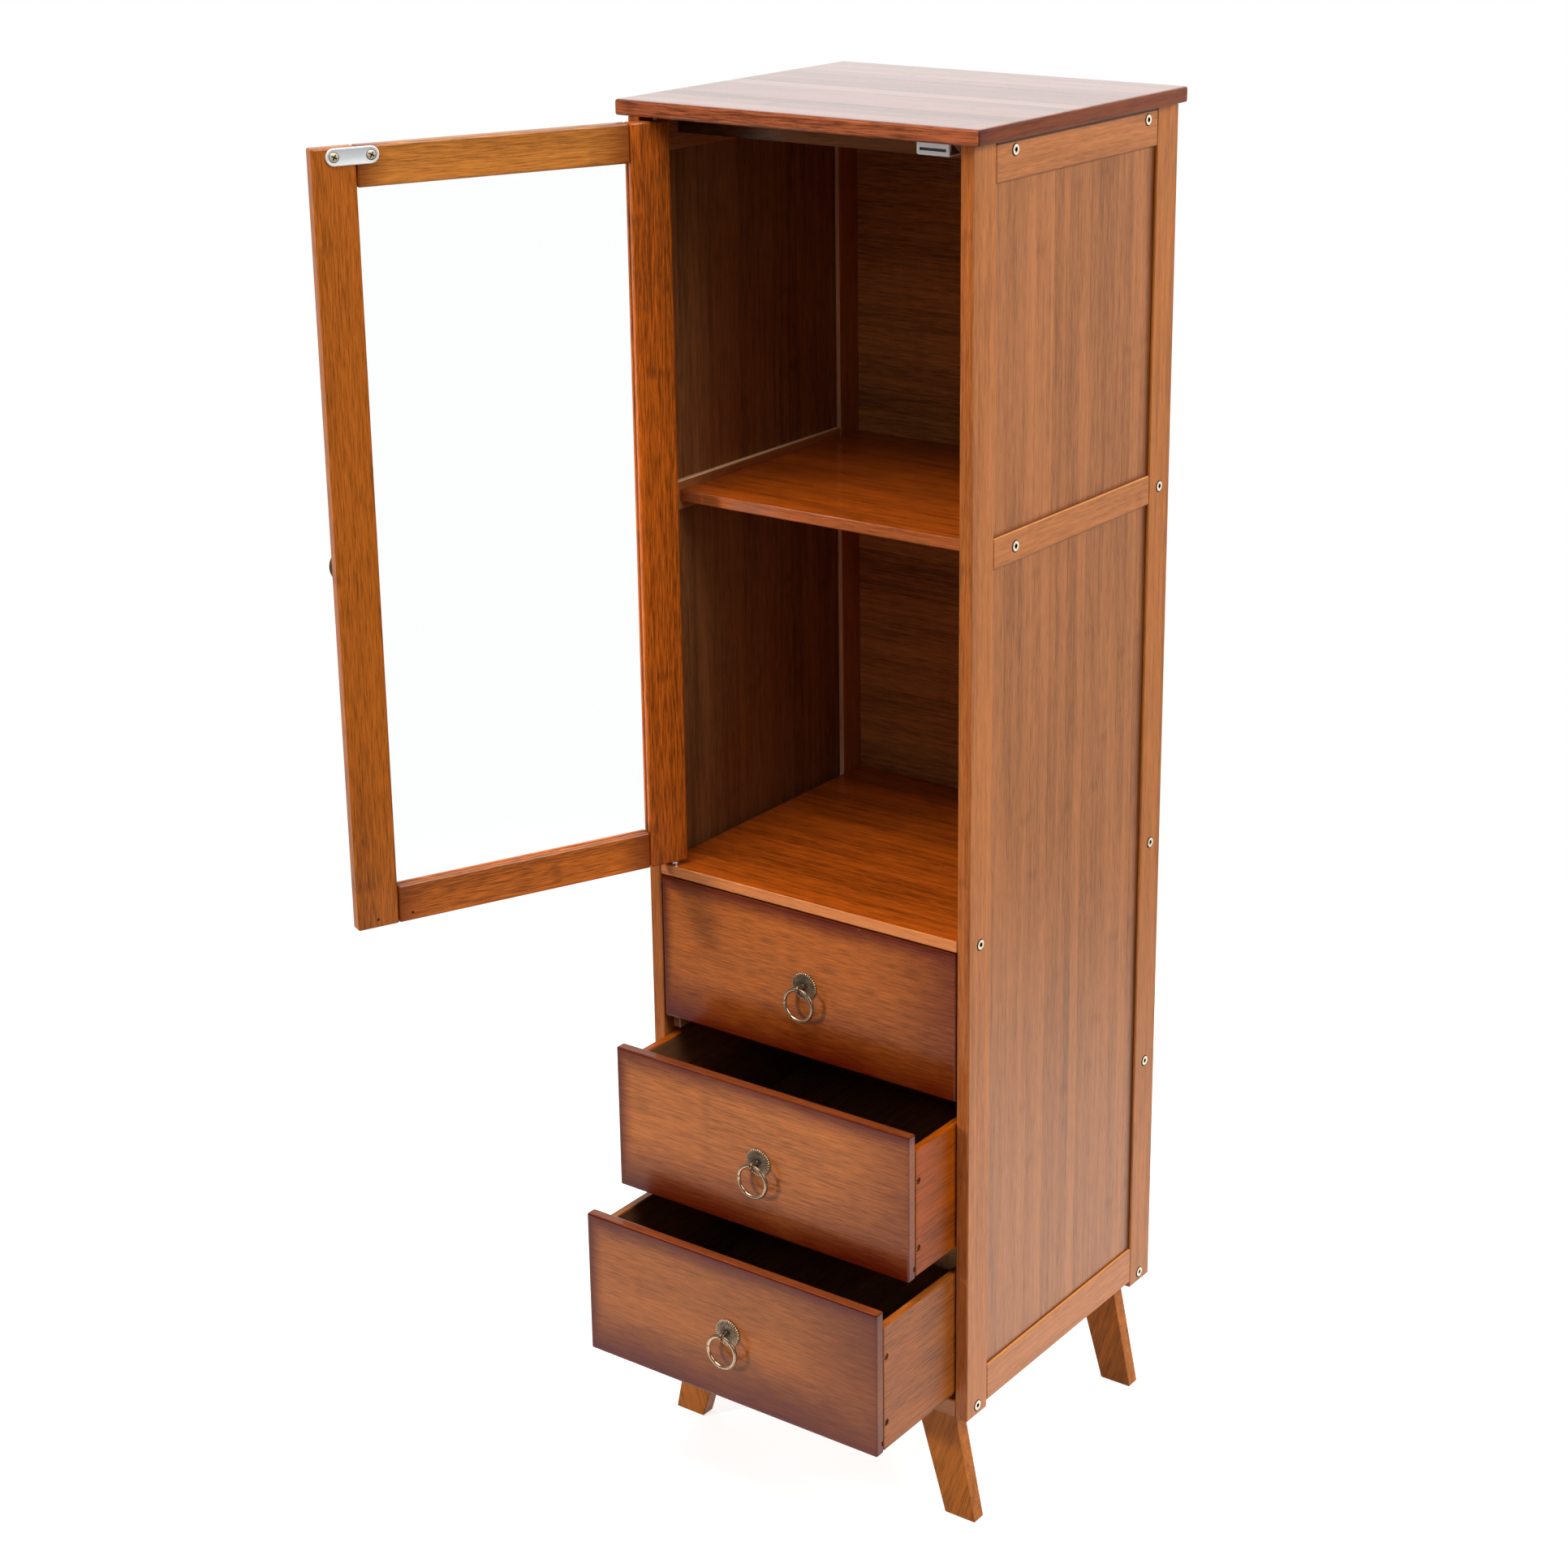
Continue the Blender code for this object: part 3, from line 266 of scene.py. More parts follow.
# How much each of them, each strip's own tone and each seam moves the tone
WIDE_SHARE = 1.6
FINE_SHARE = 2.0
BROAD_SHARE = 1.0
STRIP_SHARE = 0.6
PORE_SHARE = -0.22
SEAM_SHARE = -0.22

# Seams, growth rings and eased edges, in metres, and the edges' stain and painted seam shade
SEAM_HALF = 0.0005
RING_GAP = 0.26
RING_HALF = 0.0075
RING_CORE = 0.0010
RING_RAGGED = 0.016
EDGE_RADIUS = 0.0011
EDGE_SHARE = 0.5
EDGE_STAIN_AND_SHADE = (0.42, 0.34, 0.30)

# Widths of the bamboo strips, in metres
TOP_STRIP = 0.022
SHELF_STRIP = 0.021
FRAME_STRIP = 0.0155
PANEL_STRIP = 0.0138
DOOR_STRIP = 0.0185
FRONT_STRIP = 0.024
FRONT_TOP_STRIP = 0.018
BOX_STRIP = 0.019
LEG_STRIP = 0.014
EDGE_STRIP = 0.011
THIN_STRIP = 0.009


def bamboo(
    name,
    order,
    stain,
    strip,
    seed,
    strips=0.5,
    streaks=1.0,
    coarse=1.0,
    rings=0.25,
    rough=0.38,
    lacquer=0.35,
    lacquer_rough=0.12,
    turn=None,
    burn_and_shade=None,
    lip=None,
    uneven=0.0,
):
    """Stained bamboo. order names the axes along the grain, across the strips and through them,
    turn stands the board upright first, the argument for darkening towards the edges has its sides
    and darkest colour (sprayed stain on most boards, painted shade in the panel grooves), and lip
    has the axis, start, end and tones of an edge with a painted highlight, and on the top rail
    painted shade."""
    tree = Tree(name)
    point = tree.place()
    if turn is not None:
        point = tree.turned(point, *turn)
    axes = tree.split(point)
    along, across, through = (axes["xyz".index(letter)] for letter in order)
    grain = (tree, along, across, through)

    # Streaks of several widths, pores and slow changes of tone
    wide = streaked(*grain, *WIDE, seed, 4.0, 0.70)
    fine = streaked(*grain, *FINE, seed + 3.0, 3.0, 0.65)
    broad = streaked(*grain, *BROAD, seed + 5.0)
    pore = tree.step(streaked(*grain, *PORES, seed + 7.0), 0.56, 0.70)

    # Strips, each with its own tone, and the seams between them
    lane = tree.math("DIVIDE", across, strip)
    tone, shift, chosen = tree.chance(tree.joined(tree.math("FLOOR", lane), seed))
    in_lane = tree.math("ABSOLUTE", tree.math("SUBTRACT", tree.math("FRACT", lane), 0.5))
    seam = tree.step(in_lane, 0.5 - SEAM_HALF / strip, 0.5)

    # Growth rings, at another height on each strip, and missing from some
    ragged = streaked(*grain, *RAGGED, seed + 9.0)
    turns = tree.math("FRACT", tree.total((along, 1.0 / RING_GAP), (shift, 7.3)))
    off = tree.math("MULTIPLY", tree.math("SUBTRACT", turns, 0.5), RING_GAP)
    off = tree.math("ABSOLUTE", tree.total(off, (ragged, RING_RAGGED), -RING_RAGGED / 2))
    growth = tree.step(off, RING_HALF, RING_CORE)
    growth = tree.math("MULTIPLY", growth, tree.step(chosen, 0.40, 0.55))
    growth = tree.math("MULTIPLY", growth, tree.step(fine, 0.25, 0.60))

    # All of these together, round the middle tone
    tone_share = strips * STRIP_SHARE
    wide_share = streaks * coarse * WIDE_SHARE
    fine_share = streaks * FINE_SHARE
    value = tree.total(
        0.5 - 0.5 * (tone_share + wide_share + fine_share + BROAD_SHARE),
        (tone, tone_share),
        (wide, wide_share),
        (fine, fine_share),
        (broad, BROAD_SHARE),
        (growth, -rings),
        (pore, PORE_SHARE),
        (seam, SEAM_SHARE),
    )
    deep, middle, light = stain
    colour = tree.ramp(value, ((0.0, deep), (0.5, middle), (1.0, light)))
    if lip is not None:
        axis, start, end, lip_tones = lip
        pale = tree.ramp(value, tuple(zip((0.0, 0.5, 1.0), lip_tones)))
        near = tree.step(axes[axis], start, end)
        colour = tree.mix(near, colour, pale)
    if burn_and_shade is not None:
        colour = burnt_and_shaded(tree, colour, axes, value, *burn_and_shade)

    # Darkening along the eased edges: stain that gathers there, and painted shade in the seams
    # where boards meet
    rounded = tree.nodes.new("ShaderNodeBevel")
    rounded.samples = 4
    tree.put(EDGE_RADIUS, rounded.inputs["Radius"])
    flat = tree.nodes.new("ShaderNodeNewGeometry").outputs["True Normal"]
    turned_by = tree.nodes.new("ShaderNodeVectorMath")
    turned_by.operation = "DOT_PRODUCT"
    tree.put(rounded.outputs[0], turned_by.inputs[0])
    tree.put(flat, turned_by.inputs[1])
    on_edge = tree.step(turned_by.outputs["Value"], 0.985, 0.80, 0.0, EDGE_SHARE)
    stained_and_shaded = tree.mix(1.0, colour, EDGE_STAIN_AND_SHADE, "MULTIPLY")
    colour = tree.mix(on_edge, colour, stained_and_shaded)

    # Relief, and a coat that lies thicker on some strips where it is uneven
    height = tree.total((wide, 0.5), (fine, 0.6), (pore, -0.5), (seam, -0.8), (growth, 0.5))
    coat = lacquer
    if uneven > 0.0:
        coat = tree.total(lacquer - 0.9 * uneven, (tone, 0.55 * uneven), (broad, 0.55 * uneven))
        coat = tree.total(coat, (wide, 0.40 * uneven), (seam, -0.5 * uneven))
    tree.bump(height, 0.25, 0.0003, rounded.outputs[0])
    tree.look(
        Base_Color=colour,
        Roughness=tree.total(rough, (fine, 0.16), (growth, 0.08), -0.08),
        Specular_IOR_Level=0.10,
        Coat_Weight=coat,
        Coat_Roughness=lacquer_rough,
    )
    return tree.material


# The darkening towards the edges, sprayed burnt stain on most boards and painted shade in the panel
# grooves: its clouds per metre, how its sides round into each other, where it starts and ends, and
# how much of the wood's own colour is left in it
DARKENING_CLOUDS = 9.0
DARKENING_ROUNDING = 0.35
DARKENING_START = 0.85
DARKENING_END = -0.05
DARKENING_LEFT = 0.09


def burnt_and_shaded(tree, colour, axes, value, sides, dark):
    """Darkens a board towards its edges: sprayed stain, and painted shade in the panel grooves;
    sides has (axis, place, reach).
    """
    cloud = tree.noise(tree.joined(*(tree.math("MULTIPLY", a, DARKENING_CLOUDS) for a in axes)))
    nearest = 1.0
    for axis, place, reach in sides:
        off = tree.math("SUBTRACT", axes[axis], place)
        share = tree.math("DIVIDE", off, reach)
        nearest = tree.math("SMOOTH_MIN", share, nearest, DARKENING_ROUNDING)
    amount = tree.step(tree.total(nearest, (cloud, 0.5), -0.25), DARKENING_START, DARKENING_END)
    shade = tree.mix(tree.math("MULTIPLY", value, DARKENING_LEFT), dark, colour)
    return tree.mix(amount, colour, shade)


def tones(middle, spread):
    """Deep, middle and light tones of a stain round its middle colour."""
    deep = tuple(c * (1.0 - spread) for c in middle)
    light = tuple(min(1.0, c * (1.0 + spread * 0.8)) for c in middle)
    return deep, middle, light


# Tones of the stained wood: case, shelves and door, among them painted highlight and painted shade
# tones
FRAME_TONES = tones((0.40, 0.143, 0.044), 0.34)
STILE_TONES = tones((0.40, 0.138, 0.038), 0.34)
BACK_STILE_TONES = tones((0.365, 0.120, 0.024), 0.34)
HIGHLIGHT_EDGE_TONES = tones((0.60, 0.25, 0.07), 0.20)
SHADED_STILE_FRONT_TONES = tones((0.38, 0.110, 0.026), 0.40)
PANEL_TONES = tones((0.325, 0.118, 0.036), 0.38)
SHADED_INNER_PANEL_TONES = tones((0.235, 0.094, 0.032), 0.45)
PALE_HIGHLIGHT_TONES = tones((0.92, 0.60, 0.35), 0.15)
SHELF_HIGHLIGHT_TONES = tones((0.35, 0.089, 0.024), 0.36)
FLOOR_HIGHLIGHT_TONES = tones((0.52, 0.170, 0.048), 0.32)
SHELF_TONES = tones((0.38, 0.071, 0.0045), 0.60)
HINGE_TONES = tones((0.45, 0.096, 0.006), 0.60)
DOOR_LOW_TONES = tones((0.48, 0.118, 0.009), 0.55)
LOCK_TONES = tones((0.355, 0.094, 0.009), 0.55)
DOOR_LIGHT_TONES = tones((0.49, 0.172, 0.028), 0.45)

# Drawers, legs, hidden boards and the top, among them painted shade and painted light tones
FRONT_TONES = {
    "top": tones((0.39, 0.100, 0.013), 0.46),
    "middle": tones((0.39, 0.114, 0.022), 0.46),
    "bottom": tones((0.310, 0.088, 0.015), 0.42),
}
FRONT_TOP_TONES = tones((0.17, 0.036, 0.008), 0.35)
BOX_TONES = {
    "top": tones((0.28, 0.058, 0.002), 0.50),
    "middle": tones((0.28, 0.054, 0.001), 0.50),
    "bottom": tones((0.265, 0.071, 0.008), 0.55),
}
LEG_TONES = tones((0.36, 0.103, 0.008), 0.40)
LIT_BACK_TONES = tones((0.54, 0.245, 0.076), 0.50)
SHADED_TONES = tones((0.09, 0.030, 0.010), 0.40)
SHADED_INSIDE_TONES = tones((0.27, 0.125, 0.058), 0.40)
SHADED_INNER_SIDE_TONES = tones((0.15, 0.064, 0.028), 0.40)
BACK_OUT_TONES = tones((0.30, 0.108, 0.032), 0.36)
RAW_TONES = tones((0.66, 0.40, 0.22), 0.30)
TOP_TONES = tones((0.22, 0.058, 0.024), 0.55)
TOP_EDGE_TONES = tones((0.27, 0.072, 0.028), 0.60)
TOP_END_TONES = tones((0.135, 0.032, 0.010), 0.45)

# Darkest shades of the sprayed stain on drawer fronts, door joints and ends of the top, and of the
# painted shade in the panel grooves
BURNT = (0.074, 0.002, 0.0002)
BURNT_JOINT = (0.170, 0.030, 0.002)
GROOVE_SHADE = (0.110, 0.020, 0.001)
BURNT_END = (0.050, 0.014, 0.010)


def metal(name, colour, dull, rough, brushed=(300.0, 300.0, 300.0), patina=0.5, shine=1.0):
    """Plated or aged metal: bright where rubbed, dull in patches."""
    tree = Tree(name)
    streaks = tree.speckle(brushed, 3.0, 0.6)
    cloud = tree.speckle(420.0)
    worn = tree.step(tree.total((streaks, 0.5), (cloud, 0.5)), 0.5 - patina * 0.5, 0.75)
    tree.look(
        Base_Color=tree.mix(worn, dull, colour),
        Metallic=shine,
        Roughness=tree.total(rough, (streaks, 0.16), (worn, -0.10)),
    )
    tree.bump(streaks, 0.15, 0.0001)
    return tree.material


BRASS_STOPS = (
    (0.0, (0.018, 0.011, 0.007)),
    (0.35, (0.105, 0.070, 0.043)),
    (1.0, (0.56, 0.40, 0.25)),
)


def aged_brass(name):
    """Brass under a grey-brown patina, rubbed through on what stands proud."""
    tree = Tree(name)
    cloud = tree.speckle(700.0, 3.0, 0.6)
    fine = tree.speckle(3600.0)
    rub_and_shade = tree.total((tree.rub_and_shade(), 1.0), (cloud, 0.7), (fine, 0.3), -0.5)
    worn = tree.step(rub_and_shade, 0.05, 0.90)
    tree.look(
        Base_Color=tree.ramp(worn, BRASS_STOPS),
        Metallic=tree.total((worn, 0.35), 0.58),
        Roughness=tree.total(0.30, (worn, -0.14), (fine, 0.14)),
        Specular_IOR_Level=0.4,
    )
    tree.bump(tree.total((fine, 0.6), (cloud, 0.8)), 0.25, 0.00012)
    return tree.material


def rubbed_and_shaded(name, dull, bright, rough):
    """Plated metal, dull in its hollows and bright on its edges; on the screws the dull colour is
    painted shade.
    """
    tree = Tree(name)
    cloud = tree.speckle(160.0, 3.0, 0.6)
    fine = tree.speckle(2400.0)
    worn = tree.step(tree.total((tree.rub_and_shade(), 1.0), (cloud, 0.5), -0.25), 0.0, 1.0)
    tree.look(
        Base_Color=tree.mix(worn, dull, bright),
        Metallic=0.35,
        Roughness=tree.total(rough, (fine, 0.16)),
    )
    tree.bump(fine, 0.10, 0.0001)
    return tree.material


def plastic(name, colour, rough):
    """Moulded plastic with a fine, soft grain."""
    tree = Tree(name)
    fine = tree.speckle(2500.0)
    cloud = tree.speckle(90.0)
    darker = tuple(c * 0.86 for c in colour)
    tree.look(
        Base_Color=tree.mix(cloud, darker, colour),
        Roughness=tree.total(rough, (fine, 0.12)),
        Specular_IOR_Level=0.45,
    )
    tree.bump(fine, 0.08, 0.0002)
    return tree.material


def glass(name):
    """Clear sheet glass that lets light through to what is behind it."""
    tree = Tree(name)
    smear = tree.speckle(14.0, 3.0)
    tree.look(
        Base_Color=(0.99, 1.0, 0.997, 1.0),
        Roughness=tree.step(smear, 0.45, 0.85, 0.0, 0.03),
        IOR=1.22,
        Transmission_Weight=1.0,
    )
    path = tree.nodes.new("ShaderNodeLightPath")
    clear = tree.nodes.new("ShaderNodeBsdfTransparent")
    both = tree.nodes.new("ShaderNodeMixShader")
    tree.put(path.outputs["Is Shadow Ray"], both.inputs[0])
    tree.put(tree.surface.outputs[0], both.inputs[1])
    tree.put(clear.outputs[0], both.inputs[2])
    tree.put(both.outputs[0], tree.nodes["Material Output"].inputs["Surface"])
    return tree.material


def dress(material, *names):
    """Gives CAD nodes their material, in their only slot."""
    for name in names:
        NODES[name].material_slots[0].material = material


def dress_part(name, material, chosen):
    """Gives one more material to the faces of a CAD node that chosen picks by their centre."""
    mesh = NODES[name].data
    mesh.materials.append(material)
    for face in mesh.polygons:
        if chosen(face.center):
            face.material_index = len(mesh.materials) - 1


def both_sides(*names):
    return [f"{side}_{name}" for side in ("left", "right") for name in names]


# Faces of a node that another finish covers, each known by its centre; the catch's slot is known
# by its height over the catch's underside
TOP_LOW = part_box("top_panel")[0]
BACK_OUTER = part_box("back_panel")[1].y
CATCH_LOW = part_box("magnetic_catch")[0]
SLOT_LOW = 0.0030
SLOT_HIGH = 0.0065


def off_middle(point):
    return abs(point.x - CASE_X)


def outside_case(point):
    return off_middle(point) > FRAME_INNER and point.z < TOP_UNDER_Z - 0.001


def bolt_face(point):
    return outside_case(point) and off_middle(point) > FRAME_OUTER


def inside_case(point):
    return off_middle(point) < PANEL_INNER + NEAR


def stile_front(point):
    return point.y < CASE_Y + NEAR


def pale_stile_edge(point):
    return point.y < BACK_STILE_Y and off_middle(point) < PANEL_INNER


def pale_rail_edge(point):
    return point.z > MIDDLE_RAIL_TOP_Z and off_middle(point) < PANEL_INNER


def under_top(point):
    return off_middle(point) < FRAME_INNER and point.z < TOP_UNDER_Z - 0.0002


def in_slot(point):
    return point.y > CATCH_LOW.y + NEAR and SLOT_LOW < point.z - CATCH_LOW.z < SLOT_HIGH


def inside_drawer(point):
    return off_middle(point) < DRAWER_INNER + NEAR


def top_end(point):
    return off_middle(point) > TOP_OUTER - 0.001 and point.z > TOP_UNDER_Z + 0.001


def top_edge(point):
    return point.y < TOP_LOW.y + NEAR and point.z > TOP_UNDER_Z + 0.001


def back_outside(point):
    return point.y > BACK_OUTER - NEAR


# Metals of the fixings that are part of the CAD nodes
ZINC = metal("bright_zinc", (0.86, 0.86, 0.87), (0.62, 0.63, 0.65), 0.24, (40.0, 40.0, 900.0), 0.8)
BOLT_METAL = metal("bolt_rim", (0.95, 0.88, 0.72), (0.70, 0.58, 0.40), 0.30, patina=0.9, shine=0.25)
DRAWER_SCREW = metal("drawer_screw", (0.60, 0.42, 0.24), (0.10, 0.06, 0.03), 0.34, patina=0.4)
# The dark metal in the bolts' sockets is painted shade
SHADED_SOCKET_METAL = metal("bolt_socket", (0.060, 0.035, 0.020), (0.02, 0.012, 0.008), 0.5, shine=0.5)

# Finishes of the top board and of the side frames
dress(
    bamboo(
        "top_bamboo",
        "xyz",
        TOP_TONES,
        TOP_STRIP,
        1.7,
        strips=1.0,
        streaks=1.3,
        lacquer=1.0,
        lacquer_rough=0.10,
        uneven=0.28,
    ),
    "top_panel",
)
dress(
    bamboo("stile_bamboo", "zyx", STILE_TONES, FRAME_STRIP, 3.1, strips=0.3, rings=0.2),
    *both_sides("front_stile"),
)
dress(
    bamboo("back_stile_bamboo", "zyx", BACK_STILE_TONES, FRAME_STRIP, 3.6, strips=0.3, rings=0.2),
    *both_sides("back_stile"),
)

# The rails' upper edges, with painted shade under the top board and a painted highlight elsewhere,
# and the panels, with painted shade towards the back stile and towards the rail below them
for name, seed, start, width, edge_tones in (
    ("top_rail", 4.3, TOP_RAIL_SHADE_Z, 0.0008, SHADED_TONES),
    ("middle_rail", 4.9, MIDDLE_RAIL_TOP_Z - 0.0007, 0.0007, HIGHLIGHT_EDGE_TONES),
    ("bottom_rail", 6.1, BOTTOM_RAIL_TOP_Z - 0.0007, 0.0007, HIGHLIGHT_EDGE_TONES),
):
    lip = (2, start, start + width, edge_tones)
    dress(
        bamboo(
            f"{name}_bamboo",
            "yzx",
            FRAME_TONES,
            FRAME_STRIP,
            seed,
            strips=0.3,
            rings=0.2,
            lip=lip,
        ),
        *both_sides(name),
    )
BACK_SHADE = 0.0180
LOW_SHADE = 0.0080
for name, bottom in (("upper_panel", UPPER_PANEL_Z), ("lower_panel", LOWER_PANEL_Z)):
    grooves = ((1, PANEL_BACK_Y, -BACK_SHADE), (2, bottom - 0.001, LOW_SHADE))
    dress(
        bamboo(
            f"{name}_bamboo",
            "zyx",
            PANEL_TONES,
            PANEL_STRIP,
            5.9,
            strips=0.55,
            lacquer=0.5,
            burn_and_shade=(grooves, GROOVE_SHADE),
        ),
        *both_sides(name),
    )

# Finishes of the boards between the frames, and of the back
# Painted highlight on the front edges of the shelf and floor: their tone blends in between these
# distances behind the front
LIP_FAR = 0.0011
LIP_NEAR = 0.0007
for name, front, lip_tones, seed in (
    ("middle_shelf", SHELF_FRONT_Y, SHELF_HIGHLIGHT_TONES, 7.7),
    ("compartment_floor", FLOOR_FRONT_Y, FLOOR_HIGHLIGHT_TONES, 9.8),
):
    dress(
        bamboo(
            f"{name}_bamboo",
            "xyz",
            SHELF_TONES,
            SHELF_STRIP,
            seed,
            streaks=1.1,
            rings=0.10,
            lacquer=0.8,
            lacquer_rough=0.10,
            lip=(1, front + LIP_FAR, front + LIP_NEAR, lip_tones),
        ),
        name,
    )
dress(bamboo("board_bamboo", "xyz", FRAME_TONES, SHELF_STRIP, 8.1), "bottom_board")
# Painted light: the back panel and the low batten take a pale tone that stands in for light inside
# the case; the back's outer face takes its own tone further down
dress(
    bamboo("lit_back_bamboo", "xzy", LIT_BACK_TONES, BOX_STRIP, 9.3, rings=0.15, lacquer=0.1, rough=0.5),
    "back_panel",
    "low_back_batten",
)
dress(
    bamboo("raw_bamboo", "yzx", RAW_TONES, THIN_STRIP, 10.1, lacquer=0.0, rough=0.62),
    *both_sides("top_runner", "middle_runner"),
)

# Finishes of the door, whose rails are burnt near their joints with the stiles
DOOR_JOINTS = ((0, -0.071, 0.055), (0, 0.171, -0.045))
for name, order, tint, seed, burn_and_shade in (
    ("door_hinge_stile", "zxy", HINGE_TONES, 12.4, None),
    ("door_lock_stile", "zxy", LOCK_TONES, 13.9, None),
    ("door_top_rail", "xzy", DOOR_LIGHT_TONES, 14.9, (DOOR_JOINTS, BURNT_JOINT)),
    ("door_bottom_rail", "xzy", DOOR_LOW_TONES, 16.2, (DOOR_JOINTS, BURNT_JOINT)),
):
    dress(
        bamboo(
            f"{name}_bamboo",
            order,
            tint,
            DOOR_STRIP,
            seed,
            strips=0.45,
            streaks=1.3,
            coarse=0.35,
            turn=DOOR_TURN,
            burn_and_shade=burn_and_shade,
        ),
        name,
    )
dress(glass("clear_glass"), "door_glass")

# Finishes of the legs
for side, lean in (("left", LEG_LEAN), ("right", -LEG_LEAN)):
    dress(
        bamboo(
            f"{side}_leg_bamboo",
            "zxy",
            LEG_TONES,
            LEG_STRIP,
            17.0 + lean,
            strips=0.3,
            streaks=1.3,
            lacquer=0.1,
            turn=(lean, (CASE_X, 0.0, 0.0), "Y_AXIS"),
        ),
        f"front_{side}_leg",
        f"rear_{side}_leg",
    )

# Finishes of the drawers: how far a front is burnt in from its left edge, where the burn on its
# right starts, out from the case's middle, and how glossy the drawer's sides are
DRAWER_LOOKS = {
    "top": (0.015, 0.210, 0.33),
    "middle": (0.022, 0.226, 0.15),
    "bottom": (0.022, 0.204, 0.30),
}
RIGHT_BURN = 0.190
LOW_BURN = 0.068
HIGH_BURN = 0.026
for number, level in enumerate(LEVELS):
    front = f"drawer_{level}_front"
    low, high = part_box(front)
    left_burn, right_start, side_gloss = DRAWER_LOOKS[level]
    sides = (
        (0, CASE_X - DRAWER_OUTER, left_burn),
        (0, CASE_X + right_start, -RIGHT_BURN),
        (2, low.z, LOW_BURN),
        (2, high.z, -HIGH_BURN),
    )
    dress(
        bamboo(
            f"{front}_bamboo",
            "xzy",
            FRONT_TONES[level],
            FRONT_STRIP,
            21.0 + number * 3.7,
            strips=0.25,
            streaks=1.3,
            coarse=0.30,
            rings=0.16,
            lacquer=0.42,
            lacquer_rough=0.17,
            burn_and_shade=(sides, BURNT),
        ),
        front,
    )
    seed = 31.0 + number
    side = bamboo(
        f"drawer_{level}_side_bamboo",
        "yzx",
        BOX_TONES[level],
        BOX_STRIP,
        seed,
        rings=0.55,
        streaks=1.3,
        coarse=0.50,
        lacquer=side_gloss,
        lacquer_rough=0.36,
    )
    dress(side, f"drawer_{level}_left_side", f"drawer_{level}_right_side")
    # Painted shade: the drawers' backs and bottoms, and the inner faces of their sides, take shaded
    # tones for the shade inside the drawers
    shaded_inside = bamboo(
        f"drawer_{level}_inside_bamboo", "yzx", SHADED_INSIDE_TONES, BOX_STRIP, seed, lacquer=0.05
    )
    dress(shaded_inside, f"drawer_{level}_back", f"drawer_{level}_bottom")
    shaded_inner = bamboo(
        f"drawer_{level}_inner_side_bamboo", "yzx", SHADED_INNER_SIDE_TONES, BOX_STRIP, seed, lacquer=0.05
    )
    for part in ("left_side", "right_side"):
        dress_part(f"drawer_{level}_{part}", shaded_inner, inside_drawer)

# Bolts with painted shade in their sockets, the top's underside in painted shade and its stained
# edges, and other boards' edges and faces, some with painted highlight, some with painted shade
for name in ("top_panel", "middle_shelf", "compartment_floor", "bottom_board", "low_back_batten"):
    dress_part(name, SHADED_SOCKET_METAL, outside_case)
    dress_part(name, BOLT_METAL, bolt_face)
# Painted shade: the faces under the top, inside the case, take a shaded, near-black tone
UNDER_TOP_SHADE = bamboo("under_top_shade_bamboo", "xzy", SHADED_TONES, BOX_STRIP, 41.0)
dress_part("top_panel", UNDER_TOP_SHADE, under_top)
TOP_EDGE = bamboo("top_edge_bamboo", "xzy", TOP_EDGE_TONES, EDGE_STRIP, 40.3, streaks=1.5)
dress_part("top_panel", TOP_EDGE, top_edge)
FRONT_CORNER = (1, TOP_LOW.y - 0.014, 0.050)
TOP_END = bamboo(
    "top_end_bamboo",
    "yzx",
    TOP_END_TONES,
    EDGE_STRIP,
    42.2,
    streaks=1.2,
    lacquer=0.25,
    burn_and_shade=((FRONT_CORNER,), BURNT_END),
)
dress_part("top_panel", TOP_END, top_end)
# Painted highlight: the back stiles' inner edges and the middle rails' inner tops take a pale tone
# for the light they catch
PALE_HIGHLIGHT = bamboo("pale_highlight_bamboo", "zxy", PALE_HIGHLIGHT_TONES, THIN_STRIP, 43.0, lacquer=0.1)
# Painted shade: the stiles' front faces take a darker tone than their sides, for the lesser light
# there
SHADED_STILE_FRONT = bamboo(
    "shaded_stile_front_bamboo", "zxy", SHADED_STILE_FRONT_TONES, FRAME_STRIP, 44.5, lacquer=0.15
)
# Painted shade: the side panels' faces inside the case take a darker tone
SHADED_INNER_PANEL = bamboo(
    "shaded_inner_panel_bamboo", "zyx", SHADED_INNER_PANEL_TONES, PANEL_STRIP, 46.1, lacquer=0.05
)
for side in ("left", "right"):
    dress_part(f"{side}_front_stile", SHADED_STILE_FRONT, stile_front)
    dress_part(f"{side}_back_stile", PALE_HIGHLIGHT, pale_stile_edge)
    dress_part(f"{side}_middle_rail", PALE_HIGHLIGHT, pale_rail_edge)
    for panel in ("upper_panel", "lower_panel"):
        dress_part(f"{side}_{panel}", SHADED_INNER_PANEL, inside_case)
BACK_OUT = bamboo("back_outside_bamboo", "xzy", BACK_OUT_TONES, BOX_STRIP, 49.7, strips=0.4)
dress_part("back_panel", BACK_OUT, back_outside)

